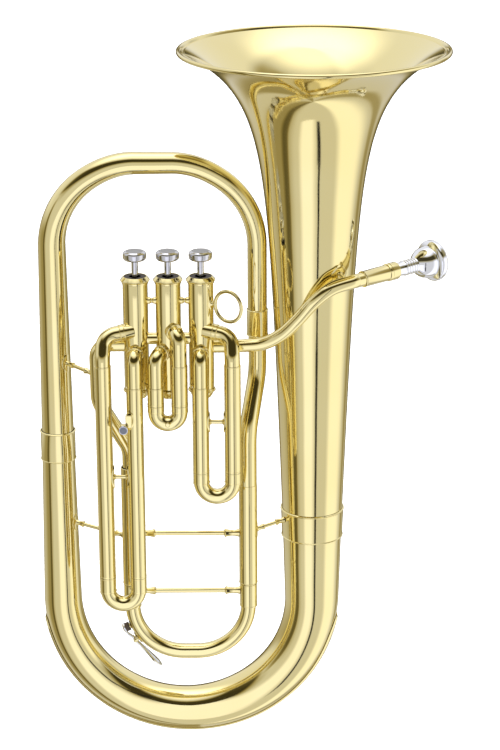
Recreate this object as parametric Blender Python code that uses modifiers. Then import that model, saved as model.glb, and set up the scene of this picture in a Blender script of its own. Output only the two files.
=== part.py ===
"""Euphonium in B flat with three top-action piston valves, bell upright.

Frame: +Z runs up along the bell, +X points from the left branch to the bell and +Y points
behind the instrument. The origin is the lowest outer point of the bottom bow.
Air path: mouthpiece, receiver, leadpipe, valves 1, 2 and 3, valve exit branch, main tuning
slide, descending branch, top bow, bottom bow, bell. All sizes are in metres.
"""
import math

import bmesh
import bpy
from mathutils import Matrix, Vector

NAME = "euphonium"
MM = 0.001
END = 1000.0               # a station beyond every route: its far end

# ---- clearances -------------------------------------------------------------------------
GAP = 0.3 * MM             # between pieces that are soldered or screwed together
SLIDE_PLAY = 0.1 * MM      # between a slide leg and its sleeve, on the radius
PISTON_PLAY = 0.1 * MM     # between a piston and its casing, on the radius
STEM_PLAY = 0.5 * MM       # around a valve stem where it passes the top cap

# ---- main branch and bell ---------------------------------------------------------------
HEIGHT = 0.6918            # lowest bow point to the top of the bell rim
BELL_RIM_RADIUS = 0.1270
BELL_BEAD_RADIUS = 0.0020  # rolled wire edge
BELL_THROAT_RADIUS = 0.0286
BELL_CONE = 0.0347         # radius gained per unit of height below the flare
FLARE_REACH = 0.150        # how far below the rim the flare is felt
FLARE_POWER = 3.9
BELL_JOINT_Z = 0.2252      # where the bell meets the bottom bow
BOW_RADIUS = 0.1233        # centre line of the bottom bow; half the spacing of its legs
BOW_TUBE_LOW = 0.0213      # tube radius at the lowest point of the bow
BOW_TUBE_LEFT = 0.0184     # tube radius where the left leg begins to bend
BOW_TUBE_RIGHT = 0.0266    # tube radius where the bell leg begins
BRANCH_JOINT_Z = 0.3062    # where the bottom bow meets the top bow
BRANCH_JOINT_RADIUS = 0.0156
BODY_WALL = 0.0007
FERRULE_WALL = 0.0010
BELL_FERRULE_LENGTH = 0.0300
BRANCH_FERRULE_LENGTH = 0.0300
GUARD_THICKNESS = 0.0013
GUARD_HALF_ANGLE = 32.0    # degrees each side of the outermost line

# ---- top bow ----------------------------------------------------------------------------
TOP_BOW_CROWN_Z = 0.5830   # centre line
TOP_BOW_BEND = 0.0780
TOP_BOW_RIGHT_X = 0.0703
TOP_BOW_TUBE_LEFT = 0.0131
TOP_BOW_TUBE_CROWN = 0.0104
TOP_BOW_TUBE_RIGHT = 0.0092
TOP_JOINT_Z = 0.4292       # where the top bow meets the descending branch
TOP_FERRULE_LENGTH = 0.0262
DESCENDING_RADIUS = 0.0086

# ---- main tuning slide ------------------------------------------------------------------
TUNING_Y = -0.0280
TUNING_LEFT_X = -0.0528
TUNING_RIGHT_X = 0.0605
TUNING_SLEEVE_LOW_Z = 0.1712
TUNING_SLEEVE_HIGH_Z = 0.2743
TUNING_SLEEVE_LEFT_HIGH_Z = 0.2925
TUNING_SLEEVE_RADIUS = 0.0088
TUNING_BOW_Z = 0.0982      # centre line of the bow at its lowest
TUNING_BOW_RADIUS = 0.0073
TUNING_FERRULE_LENGTH = 0.0240
TUNING_BEND = 0.0500
TUNING_LEG_LENGTH = 0.0900 # inside the sleeves

# ---- valves -----------------------------------------------------------------------------
VALVE_SPACING = 0.0306
VALVE_MIDDLE_X = -0.0131
VALVE_Y = -0.0360
CASING_RADIUS = 0.0118
CASING_WALL = 0.0011
CASING_LOW_Z = 0.3765
CASING_HIGH_Z = 0.4788
TOP_CAP_RADIUS = 0.0139
BOTTOM_CAP_RADIUS = 0.0127
TOP_CAP_HEIGHT = 0.0065
BOTTOM_CAP_HEIGHT = 0.0095
STEM_RADIUS = 0.0031
BUTTON_RADIUS = 0.0110
BUTTON_TOP_Z = 0.5096
BUTTON_THICKNESS = 0.0100
PISTON_LENGTH = 0.0620
PISTON_TOP_Z = 0.4700
SPRING_WIRE = 0.0009
SPRING_TURNS = 5
TIE_Z = 0.4617
TIE_RADIUS = 0.0033
PORT_Z = 0.4245
PORT_RADIUS = 0.0056

# ---- valve slides -----------------------------------------------------------------------
SLIDE_Y = -0.0582
SLEEVE_RADIUS = 0.0078
SLEEVE_WALL = 0.0005
ELBOW_RADIUS = 0.00725
HIGH_ELBOW_Z = 0.4345      # centre line where an upper elbow leaves its casing
LOW_ELBOW_Z = 0.4136       # centre line where a lower elbow leaves its casing
HIGH_SEAM_Z = 0.4050       # sleeves begin here under the upper elbows
LOW_SEAM_Z = 0.3838        # and here under the lower elbows
SLIDE_BOW_RADIUS = 0.0074

# ---- exit branch, leadpipe and mouthpiece -----------------------------------------------
EXIT_RADIUS = 0.0071
EXIT_Z = 0.4183
LEADPIPE_RADIUS_VALVE = 0.0061
LEADPIPE_RADIUS_RECEIVER = 0.0065
RECEIVER_START = Vector((0.1678, -0.0360, 0.4811))
RECEIVER_LENGTH = 0.0407
RECEIVER_RADIUS = 0.0077
MOUTHPIECE_AZIMUTH = 36.0  # degrees towards +Y from +X
MOUTHPIECE_RISE = 2.6      # degrees above the horizontal
MOUTHPIECE_RIM_RADIUS = 0.0198
MOUTHPIECE_SHOWING = 0.0496
MOUTHPIECE_INSERTED = 0.0240
SHANK_RADIUS = 0.0060
THIN_WALL = 0.0005

# ---- small fittings ---------------------------------------------------------------------
BRACE_ROD_RADIUS = 0.0023
SLIM_ROD_RADIUS = 0.0018
BRACE_SOCKET_RADIUS = 0.0043
SLIM_SOCKET_RADIUS = 0.0032
SLEEVE_BRACE_Z = 0.2236
TUNING_BRACE_Z = 0.1630
RING_RADIUS = 0.0145
RING_WIRE_RADIUS = 0.0017
RING_FOOT_LENGTH = 0.0042   # from the casing to the wire's centre line
RING_FOOT_RADIUS = 0.0021
RING_Z = 0.4602
KEY_ANGLE = 52.4           # water key saddle, degrees from the bow's lowest point
KEY_PAD_ANGLE = 67.0       # and its pad
KEY_PIVOT_HEIGHT = 0.0038

VALVE_X = {n: VALVE_MIDDLE_X + (2 - n) * VALVE_SPACING for n in (1, 2, 3)}

# Each valve slide: casing, legs as (x, elbow height, seam height) and the bow below them.
VALVE_SLIDES = {
    "first": {"valve": 1, "left": (0.0165, "low"), "right": (0.0466, "high"),
              "sleeve_low": 0.2988, "ferrule": 0.0116, "bow_z": 0.2738, "legs": 0.075,
              "bend": 0.0125},
    "second": {"valve": 2, "left": (-0.0254, "low"), "right": (-0.0030, "high"),
               "sleeve_low": 0.3659, "ferrule": 0.0070, "bow_z": 0.3476, "legs": 0.0165,
               "bend": 0.0105},
    "third": {"valve": 3, "left": (-0.0746, "high"), "right": (-0.0452, "low"),
              "sleeve_low": 0.1912, "ferrule": 0.0159, "bow_z": 0.1629, "legs": 0.150,
              "bend": 0.0125},
}

# ---- finishes: base colour, metallic, roughness ------------------------------------------
FINISHES = {
    "lacquered_brass": ((0.80, 0.60, 0.24, 1), 1.0, 0.16),
    "silver_plate": ((0.88, 0.87, 0.84, 1), 1.0, 0.10),
    "nickel_plate": ((0.72, 0.70, 0.66, 1), 1.0, 0.18),
    "spring_steel": ((0.55, 0.54, 0.52, 1), 1.0, 0.35),
    "cork": ((0.05, 0.04, 0.035, 1), 0.0, 0.85),
}


# =========================================================================================
# Scene and small helpers
# =========================================================================================
def clear_scene():
    for obj in list(bpy.data.objects):
        bpy.data.objects.remove(obj, do_unlink=True)


def new_collection(name):
    collection = bpy.data.collections.new(name)
    bpy.context.scene.collection.children.link(collection)
    return collection


def finish_on(obj, finish):
    """Gives an object its own material in one of the instrument's finishes."""
    colour, metallic, roughness = FINISHES[finish]
    material = bpy.data.materials.new(f"{obj.name}_{finish}")
    material.use_nodes = True
    shader = material.node_tree.nodes["Principled BSDF"]
    shader.inputs["Base Color"].default_value = colour
    shader.inputs["Metallic"].default_value = metallic
    shader.inputs["Roughness"].default_value = roughness
    obj.data.materials.clear()
    obj.data.materials.append(material)


def link_piece(name, data, finish="lacquered_brass"):
    obj = bpy.data.objects.new(name, data)
    PARTS.objects.link(obj)
    finish_on(obj, finish)
    return obj


def link_cutter(name, mesh):
    obj = bpy.data.objects.new(name, mesh)
    CUTTERS.objects.link(obj)
    obj.hide_render = True
    obj.display_type = "WIRE"
    return obj


def shade(obj, angle=40):
    obj.data.shade_smooth()
    obj.data.set_sharp_from_angle(angle=math.radians(angle))


def mesh_of(obj):
    """Turns an object with its modifiers into a plain mesh object of the same name."""
    graph = bpy.context.evaluated_depsgraph_get()
    mesh = bpy.data.meshes.new_from_object(obj.evaluated_get(graph), depsgraph=graph)
    work = bmesh.new()
    work.from_mesh(mesh)
    bmesh.ops.remove_doubles(work, verts=work.verts, dist=0.001 * MM)
    bmesh.ops.recalc_face_normals(work, faces=work.faces)
    work.to_mesh(mesh)
    work.free()
    name, matrix = obj.name, obj.matrix_world.copy()
    hidden, display = obj.hide_render, obj.display_type
    homes = list(obj.users_collection)
    bpy.data.objects.remove(obj, do_unlink=True)
    plain = bpy.data.objects.new(name, mesh)
    plain.matrix_world = matrix
    plain.hide_render, plain.display_type = hidden, display
    for home in homes:
        home.objects.link(plain)
    return plain


def boolean(obj, cutter, operation="DIFFERENCE"):
    modifier = obj.modifiers.new(f"{operation.lower()}_{cutter.name}", "BOOLEAN")
    modifier.operation = operation
    modifier.object = cutter
    modifier.solver = "EXACT"


def aim(direction):
    """Rotation that turns +Z to a direction."""
    return Vector(direction).to_track_quat("Z", "Y").to_matrix().to_4x4()


# =========================================================================================
# Routes and tubes
# =========================================================================================
def bent_route(corners, bends, step=18.0):
    """Straight runs through the corners, joined by arcs of the given bend radii."""
    corners = [Vector(c) for c in corners]
    points = [corners[0]]
    for before, corner, after, bend in zip(corners, corners[1:], corners[2:], bends):
        arriving = (corner - before).normalized()
        leaving = (after - corner).normalized()
        turn = arriving.angle(leaving)
        back = bend * math.tan(turn / 2)
        axis = arriving.cross(leaving).normalized()
        start = corner - arriving * back
        centre = start + axis.cross(arriving) * bend
        count = max(2, round(math.degrees(turn) / step))
        for i in range(count + 1):
            spin = Matrix.Rotation(turn * i / count, 3, axis)
            points.append(centre + spin @ (start - centre))
    points.append(corners[-1])
    return points


def smooth_route(knots, per_span=3):
    """A Catmull-Rom curve through the knots."""
    knots = [Vector(k) for k in knots]
    padded = [2 * knots[0] - knots[1], *knots, 2 * knots[-1] - knots[-2]]
    points = []
    for a, b, c, d in zip(padded, padded[1:], padded[2:], padded[3:]):
        for i in range(per_span):
            t = i / per_span
            points.append(0.5 * (2 * b + (c - a) * t + (2 * a - 5 * b + 4 * c - d) * t * t
                                 + (3 * b - a - 3 * c + d) * t ** 3))
    points.append(knots[-1])
    return points


def lengths_along(points):
    total, lengths = 0.0, [0.0]
    for a, b in zip(points, points[1:]):
        total += (b - a).length
        lengths.append(total)
    return lengths


def with_radii(points, stations):
    """Adds a point at every station and gives each point the radius read from the stations.

    A station is (distance along the route, radius); a negative distance counts from the end.
    """
    lengths = lengths_along(points)
    total = lengths[-1]
    stations = [(min(total + d if d < 0 else d, total), r) for d, r in stations]
    distances = sorted({round(d, 6) for d in lengths} | {round(d, 6) for d, r in stations
                                                        if 0 < d < total - 0.01 * MM})
    result = []
    for d in distances:
        i = max(1, min(len(points) - 1, sum(1 for x in lengths if x < d - 1e-7)))
        span = max(lengths[i] - lengths[i - 1], 1e-9)
        share = (d - lengths[i - 1]) / span
        result.append((points[i - 1].lerp(points[i], share), radius_at(d, stations)))
    return result


def radius_at(distance, stations):
    if distance <= stations[0][0]:
        return stations[0][1]
    for (d0, r0), (d1, r1) in zip(stations, stations[1:]):
        if distance <= d1:
            return r0 + (r1 - r0) * (distance - d0) / max(d1 - d0, 1e-9)
    return stations[-1][1]


def sweep_curve(name, route, sides, filled=False):
    """A round bar along a route of (point, radius) pairs."""
    curve = bpy.data.curves.new(name, "CURVE")
    curve.dimensions = "3D"
    curve.twist_mode = "MINIMUM"
    curve.bevel_depth = 1.0
    curve.bevel_resolution = sides // 2 - 2
    curve.use_fill_caps = filled
    spline = curve.splines.new("POLY")
    spline.points.add(len(route) - 1)
    for point, (place, radius) in zip(spline.points, route):
        point.co = (*place, 1)
        point.radius = radius
    return curve


def tube(name, points, stations, wall, sides=12, finish="lacquered_brass"):
    """An open-ended tube: a curve with a bevel, made into a wall inwards by Solidify."""
    obj = link_piece(name, sweep_curve(name, with_radii(points, stations), sides), finish)
    solidify = obj.modifiers.new("wall", "SOLIDIFY")
    solidify.thickness = wall
    solidify.offset = -1
    solidify.use_even_offset = True
    return obj


def step_stations(distance, before, after):
    """Two stations that make a short step in a tube's radius."""
    return [(distance - 0.2 * MM, before), (distance + 0.2 * MM, after)]


def turned(name, profile, finish="lacquered_brass", sides=24, place=(0, 0, 0),
           direction=(0, 0, 1), closed=False):
    """A turned piece: a profile of (radius, height) points, top to bottom, with a Screw."""
    mesh = bpy.data.meshes.new(name)
    edges = [(i, i + 1) for i in range(len(profile) - 1)]
    if closed:
        edges.append((len(profile) - 1, 0))
    mesh.from_pydata([(r, 0, z) for r, z in profile], edges, [])
    obj = link_piece(name, mesh, finish)
    obj.matrix_world = Matrix.Translation(place) @ aim(direction)
    screw = obj.modifiers.new("turn", "SCREW")
    screw.axis = "Z"
    screw.steps = sides
    screw.render_steps = sides
    screw.use_merge_vertices = True
    screw.merge_threshold = 0.00001
    screw.use_smooth_shade = True
    return obj


def ring_profile(outer, inner, low, high, lip=0.0, lip_length=0.0):
    """Section of a band: straight inside, with a raised lip at each end outside."""
    points = [(outer + lip, high), (outer + lip, high - lip_length)] if lip else [(outer, high)]
    if lip:
        points += [(outer, high - lip_length - lip), (outer, low + lip_length + lip),
                   (outer + lip, low + lip_length), (outer + lip, low)]
    else:
        points.append((outer, low))
    return points + [(inner, low), (inner, high)]


def cylinder_cutter(name, centre, direction, radius, length, sides=32):
    """A cutting cylinder whose flats touch the given radius, centred on a point."""
    work = bmesh.new()
    bmesh.ops.create_cone(work, cap_ends=True, segments=sides, depth=length,
                          radius1=radius / math.cos(math.pi / sides),
                          radius2=radius / math.cos(math.pi / sides))
    mesh = bpy.data.meshes.new(name)
    work.to_mesh(mesh)
    work.free()
    obj = link_cutter(name, mesh)
    obj.matrix_world = Matrix.Translation(centre) @ aim(direction)
    return obj


def sweep_cutter(name, points, radius, sides=12):
    """A cutting bar along a route, for trimming what is soldered to a bent tube."""
    curve = sweep_curve(name, [(p, radius) for p in points], sides, filled=True)
    return mesh_of(link_cutter(name, curve))


# =========================================================================================
# Bell, bottom bow and top bow
# =========================================================================================
def guard_inside(tube_radius):
    """Inner radius of the guard plate over a tube of the given radius."""
    return tube_radius / math.cos(math.pi / 24) + GAP


def bow_bend_z():
    """Height of the bottom bow's centre of curvature: its guard touches z = 0."""
    return guard_inside(BOW_TUBE_LOW) + GUARD_THICKNESS + BOW_RADIUS


def bell_radius(z):
    """Outer radius of the bell and of the leg under it at a height."""
    base = BELL_THROAT_RADIUS + BELL_CONE * (z - BELL_JOINT_Z)
    base_at_rim = BELL_THROAT_RADIUS + BELL_CONE * (HEIGHT - BELL_JOINT_Z)
    below_rim = HEIGHT - z
    share = (FLARE_REACH / (FLARE_REACH + below_rim)) ** FLARE_POWER
    return base + (BELL_RIM_RADIUS - BELL_BEAD_RADIUS - base_at_rim) * share


def make_bell():
    bead_z = HEIGHT - BELL_BEAD_RADIUS
    low = BELL_JOINT_Z + GAP / 2
    span = bead_z - low
    heights = [low + span * (1 - (1 - i / 12) ** 1.9) for i in range(13)]
    outer = [(bell_radius(z), z) for z in reversed(heights[:-1])]
    inner = []
    for z in heights[:-1]:
        slope = (bell_radius(z + MM) - bell_radius(z - MM)) / (2 * MM)
        inner.append((bell_radius(z) - BODY_WALL * math.hypot(1, slope), z))
    bead_r = BELL_RIM_RADIUS - BELL_BEAD_RADIUS
    bead = [(bead_r + BELL_BEAD_RADIUS * math.cos(a), bead_z + BELL_BEAD_RADIUS * math.sin(a))
            for a in (math.radians(d) for d in (110, 70, 10, -50, -110))]
    inner_edge = [(bead_r - 1.15 * BELL_BEAD_RADIUS, bead_z - 0.2 * BELL_BEAD_RADIUS)]
    bell = turned("bell", bead + outer + inner + inner_edge, sides=32,
                  place=(BOW_RADIUS, 0, 0), closed=True)
    return bell


def make_bell_ferrule():
    low = BELL_JOINT_Z - BELL_FERRULE_LENGTH / 2
    high = BELL_JOINT_Z + BELL_FERRULE_LENGTH / 2
    inner_low = bow_leg_radius(low) + GAP
    inner_high = bell_radius(high) + GAP
    profile = [(inner_high + FERRULE_WALL, high), (inner_low + FERRULE_WALL, low),
               (inner_low, low), (bell_radius(BELL_JOINT_Z) + GAP, BELL_JOINT_Z),
               (inner_high, high)]
    turned("bell_ferrule", profile, sides=32, place=(BOW_RADIUS, 0, 0), closed=True)


def bow_leg_radius(z):
    """Outer radius of the bow's bell-side leg."""
    bend_z = bow_bend_z()
    share = (z - bend_z) / (BELL_JOINT_Z - bend_z)
    return BOW_TUBE_RIGHT + (bell_radius(BELL_JOINT_Z) - BOW_TUBE_RIGHT) * share


def make_bottom_bow():
    bend_z = bow_bend_z()
    centre_low = bend_z - BOW_RADIUS
    start = (-BOW_RADIUS, 0, BRANCH_JOINT_Z - GAP / 2)
    end = (BOW_RADIUS, 0, BELL_JOINT_Z - GAP / 2)
    corners = [start, (-BOW_RADIUS, 0, centre_low), (BOW_RADIUS, 0, centre_low), end]
    points = bent_route(corners, [BOW_RADIUS, BOW_RADIUS], step=18)
    left_leg = start[2] - bend_z
    half_bend = math.pi * BOW_RADIUS / 2
    right_leg = end[2] - bend_z
    stations = [(0, BRANCH_JOINT_RADIUS), (left_leg, BOW_TUBE_LEFT),
                (left_leg + half_bend, BOW_TUBE_LOW), (-right_leg, BOW_TUBE_RIGHT),
                (END, bell_radius(BELL_JOINT_Z))]
    tube("bottom_bow", points, stations, BODY_WALL, sides=16)


def bow_tube_radius(angle):
    """Outer radius of the bottom bow at an angle from its lowest point, in radians."""
    share = angle / (math.pi / 2)
    far = BOW_TUBE_RIGHT if share > 0 else BOW_TUBE_LEFT
    return BOW_TUBE_LOW + (far - BOW_TUBE_LOW) * abs(share)


def make_bow_guard():
    """A plate over the outermost line of the bottom bow, lofted because the bow tapers."""
    work = bmesh.new()
    centre = Vector((0, 0, bow_bend_z()))
    rows = []
    last = math.radians(82)
    for i in range(25):
        angle = -last + 2 * last * i / 24
        outward = Vector((math.sin(angle), 0, -math.cos(angle)))
        middle = centre + outward * BOW_RADIUS
        tip = min(1.0, 0.35 + 0.65 * math.sin(math.pi * min(i, 24 - i) / 8)
                  if min(i, 24 - i) < 4 else 1.0)
        reach = math.radians(GUARD_HALF_ANGLE) * tip
        inside = guard_inside(bow_tube_radius(angle))
        section = []
        for radius, way in ((inside + GUARD_THICKNESS, 1), (inside, -1)):
            for k in range(7):
                around = way * reach * (k / 3 - 1)
                edge = abs(k - 3) == 3
                depth = radius - (0.5 * GUARD_THICKNESS if edge and way == 1 else 0)
                section.append(work.verts.new(
                    middle + outward * depth * math.cos(around)
                    + Vector((0, 1, 0)) * depth * math.sin(around)))
        rows.append(section)
    for a, b in zip(rows, rows[1:]):
        for k in range(len(a)):
            n = (k + 1) % len(a)
            work.faces.new((a[k], a[n], b[n], b[k]))
    work.faces.new(rows[0][::-1])
    work.faces.new(rows[-1])
    bmesh.ops.recalc_face_normals(work, faces=work.faces)
    mesh = bpy.data.meshes.new("bow_guard")
    work.to_mesh(mesh)
    work.free()
    shade(link_piece("bow_guard", mesh), 50)


def make_top_bow():
    left_x = -BOW_RADIUS
    start = (left_x, 0, BRANCH_JOINT_Z + GAP / 2)
    end = (TOP_BOW_RIGHT_X, 0, TOP_JOINT_Z + GAP / 2)
    corners = [start, (left_x, 0, TOP_BOW_CROWN_Z), (TOP_BOW_RIGHT_X, 0, TOP_BOW_CROWN_Z), end]
    points = bent_route(corners, [TOP_BOW_BEND, TOP_BOW_BEND], step=18)
    left_leg = TOP_BOW_CROWN_Z - TOP_BOW_BEND - start[2]
    right_leg = TOP_BOW_CROWN_Z - TOP_BOW_BEND - end[2]
    crown = left_leg + math.pi / 2 * TOP_BOW_BEND + 0.01
    stations = [(0, BRANCH_JOINT_RADIUS), (left_leg, TOP_BOW_TUBE_LEFT),
                (crown, TOP_BOW_TUBE_CROWN), (-right_leg, TOP_BOW_TUBE_RIGHT),
                (END, TOP_BOW_TUBE_RIGHT)]
    tube("top_bow", points, stations, BODY_WALL, sides=12)
    low = BRANCH_JOINT_Z - BRANCH_FERRULE_LENGTH / 2
    high = BRANCH_JOINT_Z + BRANCH_FERRULE_LENGTH / 2
    leg_slope = (BOW_TUBE_LEFT - BRANCH_JOINT_RADIUS) / (BRANCH_JOINT_Z - bow_bend_z())
    widest = BRANCH_JOINT_RADIUS + leg_slope * BRANCH_FERRULE_LENGTH / 2
    turned("branch_ferrule",
           ring_profile(widest + GAP + FERRULE_WALL, widest + GAP, low, high, 0.4 * MM, MM),
           sides=24, place=(left_x, 0, 0), closed=True)


def make_top_bow_ferrule():
    inner = TOP_BOW_TUBE_RIGHT + GAP
    low = TOP_JOINT_Z - TOP_FERRULE_LENGTH / 2
    high = TOP_JOINT_Z + TOP_FERRULE_LENGTH / 2
    turned("top_bow_ferrule",
           ring_profile(inner + 0.8 * MM, inner, low, high, 0.3 * MM, MM),
           sides=20, place=(TOP_BOW_RIGHT_X, 0, 0), closed=True)


# =========================================================================================
# Main tuning slide
# =========================================================================================
def make_descending_branch():
    corners = [(TOP_BOW_RIGHT_X, 0, TOP_JOINT_Z - GAP / 2), (TOP_BOW_RIGHT_X, 0, 0.3790),
               (TUNING_RIGHT_X, TUNING_Y, 0.3280),
               (TUNING_RIGHT_X, TUNING_Y, TUNING_SLEEVE_HIGH_Z + GAP / 2)]
    points = bent_route(corners, [0.045, 0.045], step=12)
    tube("descending_branch", points, [(0, DESCENDING_RADIUS), (END, DESCENDING_RADIUS)],
         BODY_WALL, sides=12)


def make_tuning_sleeves():
    for side, x, high in (("right", TUNING_RIGHT_X, TUNING_SLEEVE_HIGH_Z),
                          ("left", TUNING_LEFT_X, TUNING_SLEEVE_LEFT_HIGH_Z)):
        profile = ring_profile(TUNING_SLEEVE_RADIUS, TUNING_SLEEVE_RADIUS - THIN_WALL,
                               TUNING_SLEEVE_LOW_Z, high - GAP / 2)
        turned(f"tuning_sleeve_{side}", profile, sides=20, place=(x, TUNING_Y, 0), closed=True)


def make_main_tuning_slide():
    leg_top = TUNING_SLEEVE_LOW_Z + TUNING_LEG_LENGTH
    leg_radius = (TUNING_SLEEVE_RADIUS - THIN_WALL) * math.cos(math.pi / 20) - SLIDE_PLAY
    corners = [(TUNING_LEFT_X, TUNING_Y, leg_top), (TUNING_LEFT_X, TUNING_Y, TUNING_BOW_Z),
               (TUNING_RIGHT_X, TUNING_Y, TUNING_BOW_Z), (TUNING_RIGHT_X, TUNING_Y, leg_top)]
    points = bent_route(corners, [TUNING_BEND, TUNING_BEND], step=18)
    inside = TUNING_LEG_LENGTH + GAP
    ferrule_end = inside + TUNING_FERRULE_LENGTH
    ferrule = TUNING_SLEEVE_RADIUS - 0.4 * MM
    half = (step_stations(inside, leg_radius, ferrule)
            + step_stations(ferrule_end, ferrule, TUNING_BOW_RADIUS))
    mirrored = [(-d, r) for d, r in reversed(half)]
    tube("main_tuning_slide", points, [(0, leg_radius), *half, *mirrored], THIN_WALL, sides=12)


def make_exit_branch():
    x = VALVE_X[3]
    y = VALVE_Y + 2.5 * MM
    corners = [(x - 2 * MM, y, EXIT_Z), (-0.0815, y, EXIT_Z), (-0.0812, -0.0308, 0.3600),
               (TUNING_LEFT_X, TUNING_Y, 0.3110),
               (TUNING_LEFT_X, TUNING_Y, TUNING_SLEEVE_LEFT_HIGH_Z + GAP / 2)]
    points = bent_route(corners, [0.0140, 0.0280, 0.0280], step=22.5)
    sweep_cutter("exit_branch_clearance", points, EXIT_RADIUS + 1.5 * GAP)
    obj = tube("valve_exit_branch", points, [(0, EXIT_RADIUS), (END, EXIT_RADIUS)], THIN_WALL,
               sides=12)
    obj = mesh_of(obj)
    boolean(obj, CASING_CUTTERS[3])
    shade(obj)


# =========================================================================================
# Valves
# =========================================================================================
def make_casing_cutters():
    """Cylinders that trim what is soldered to a casing, with the soldering gap."""
    cutters = {}
    middle = (CASING_LOW_Z + CASING_HIGH_Z) / 2
    for n, x in VALVE_X.items():
        cutters[n] = cylinder_cutter(f"casing_{n}_clearance", (x, VALVE_Y, middle), (0, 0, 1),
                                     CASING_RADIUS + GAP, 0.14)
    return cutters


def port_bores():
    """Air ports in the casing walls: name, casing, centre, direction and radius."""
    slide_bore = SLIDE_BOW_RADIUS - 1.6 * MM
    bores = []
    for label, slide in VALVE_SLIDES.items():
        n = slide["valve"]
        for side in ("left", "right"):
            x, level = slide[side]
            start, way = elbow_start(n, x, level)
            bores.append((f"{label}_{side}_port", n, start, way, slide_bore))
    bores.append(("leadpipe_port", 1, (VALVE_X[1], VALVE_Y + 3 * MM, 0.4155), (1, 0, 0), 0.0052))
    bores.append(("exit_port", 3, (VALVE_X[3], VALVE_Y + 2.5 * MM, EXIT_Z), (-1, 0, 0), slide_bore))
    for left, right in ((2, 1), (3, 2)):
        bores.append((f"port_{right}{left}_in_{right}", right,
                      (VALVE_X[right], VALVE_Y, PORT_Z), (-1, 0, 0), 0.0046))
        bores.append((f"port_{right}{left}_in_{left}", left,
                      (VALVE_X[left], VALVE_Y, PORT_Z), (1, 0, 0), 0.0046))
    return bores


def make_casings():
    casings = {}
    for n, x in VALVE_X.items():
        profile = ring_profile(CASING_RADIUS, CASING_RADIUS - CASING_WALL, CASING_LOW_Z,
                               CASING_HIGH_Z)
        casings[n] = turned(f"valve_casing_{n}", profile, sides=24, place=(x, VALVE_Y, 0),
                            closed=True)
    reach = CASING_RADIUS + 2 * MM
    for name, n, centre, way, radius in port_bores():
        middle = Vector(centre) + Vector(way) * reach / 2
        cutter = cylinder_cutter(name, middle, way, radius, reach, sides=12)
        boolean(casings[n], cutter)


def make_caps():
    for n, x in VALVE_X.items():
        rim = TOP_CAP_RADIUS
        low = CASING_HIGH_Z + GAP
        high = low + TOP_CAP_HEIGHT
        hole = STEM_RADIUS + STEM_PLAY
        profile = [(rim - 2.6 * MM, high), (rim, high - 3.4 * MM), (rim, high - 4.6 * MM),
                   (rim - 1.4 * MM, low), (hole, low), (hole, low + 3.4 * MM),
                   (hole + 2.3 * MM, low + 3.4 * MM), (hole + 2.6 * MM, low + 2.6 * MM),
                   (rim - 3.6 * MM, low + 2.6 * MM), (rim - 3.2 * MM, high)]
        turned(f"top_cap_{n}", profile, sides=16, place=(x, VALVE_Y, 0), closed=True)
        rim = BOTTOM_CAP_RADIUS
        high = CASING_LOW_Z - GAP
        low = high - BOTTOM_CAP_HEIGHT
        profile = [(0.0, high), (rim - 0.6 * MM, high), (rim + 0.5 * MM, high - 1.2 * MM),
                   (rim + 0.5 * MM, high - 3.0 * MM), (rim - 1.2 * MM, high - 4.2 * MM),
                   (rim - 3.2 * MM, low + 1.2 * MM), (rim - 4.6 * MM, low), (0.0, low)]
        turned(f"bottom_cap_{n}", profile, sides=16, place=(x, VALVE_Y, 0))


def make_pistons_and_buttons():
    piston_radius = (CASING_RADIUS - CASING_WALL) * math.cos(math.pi / 24) - PISTON_PLAY
    low = PISTON_TOP_Z - PISTON_LENGTH
    collar = PISTON_TOP_Z + 4.2 * MM
    for n, x in VALVE_X.items():
        profile = [(0.0, collar), (4.6 * MM, collar), (4.6 * MM, PISTON_TOP_Z),
                   (piston_radius, PISTON_TOP_Z), (piston_radius, low),
                   (piston_radius - 3 * MM, low), (piston_radius - 3 * MM, low + 3 * MM),
                   (0.0, low + 3 * MM)]
        piston = turned(f"piston_{n}", profile, "nickel_plate", 24, (x, VALVE_Y, 0))
        for k, (height, turn) in enumerate(((-8 * MM, 0), (8.5 * MM, 40))):
            way = (math.cos(math.radians(turn)), math.sin(math.radians(turn)), 0)
            bore = cylinder_cutter(f"piston_{n}_passage_{k + 1}",
                                   (x, VALVE_Y, PORT_Z - height), way, 0.0046, 0.03, 12)
            boolean(piston, bore)
        top = BUTTON_TOP_Z
        under = top - BUTTON_THICKNESS
        bottom = collar + GAP
        profile = [(0.0, top), (BUTTON_RADIUS - 2.2 * MM, top),
                   (BUTTON_RADIUS - 0.4 * MM, top - 1.4 * MM), (BUTTON_RADIUS, top - 2.8 * MM),
                   (BUTTON_RADIUS - 0.1 * MM, top - 6.0 * MM),
                   (BUTTON_RADIUS - 1.9 * MM, top - 8.2 * MM),
                   (BUTTON_RADIUS - 5.0 * MM, top - 9.5 * MM), (STEM_RADIUS, under),
                   (STEM_RADIUS, bottom), (0.0, bottom)]
        turned(f"button_{n}", profile, "nickel_plate", 16, (x, VALVE_Y, 0))


def make_springs():
    """Compression springs between the pistons and the bottom caps."""
    low = CASING_LOW_Z + SPRING_WIRE + GAP
    high = PISTON_TOP_Z - PISTON_LENGTH - SPRING_WIRE - GAP
    radius = CASING_RADIUS - CASING_WALL - SPRING_WIRE - 1.4 * MM
    per_turn = 6
    count = SPRING_TURNS * per_turn
    for n, x in VALVE_X.items():
        route = []
        for i in range(count + 1):
            angle = 2 * math.pi * i / per_turn
            height = low + (high - low) * i / count
            route.append((Vector((x + radius * math.cos(angle), VALVE_Y + radius * math.sin(angle),
                                  height)), SPRING_WIRE))
        link_piece(f"valve_spring_{n}", sweep_curve(f"valve_spring_{n}", route, 6, filled=True),
                   "spring_steel")


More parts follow.
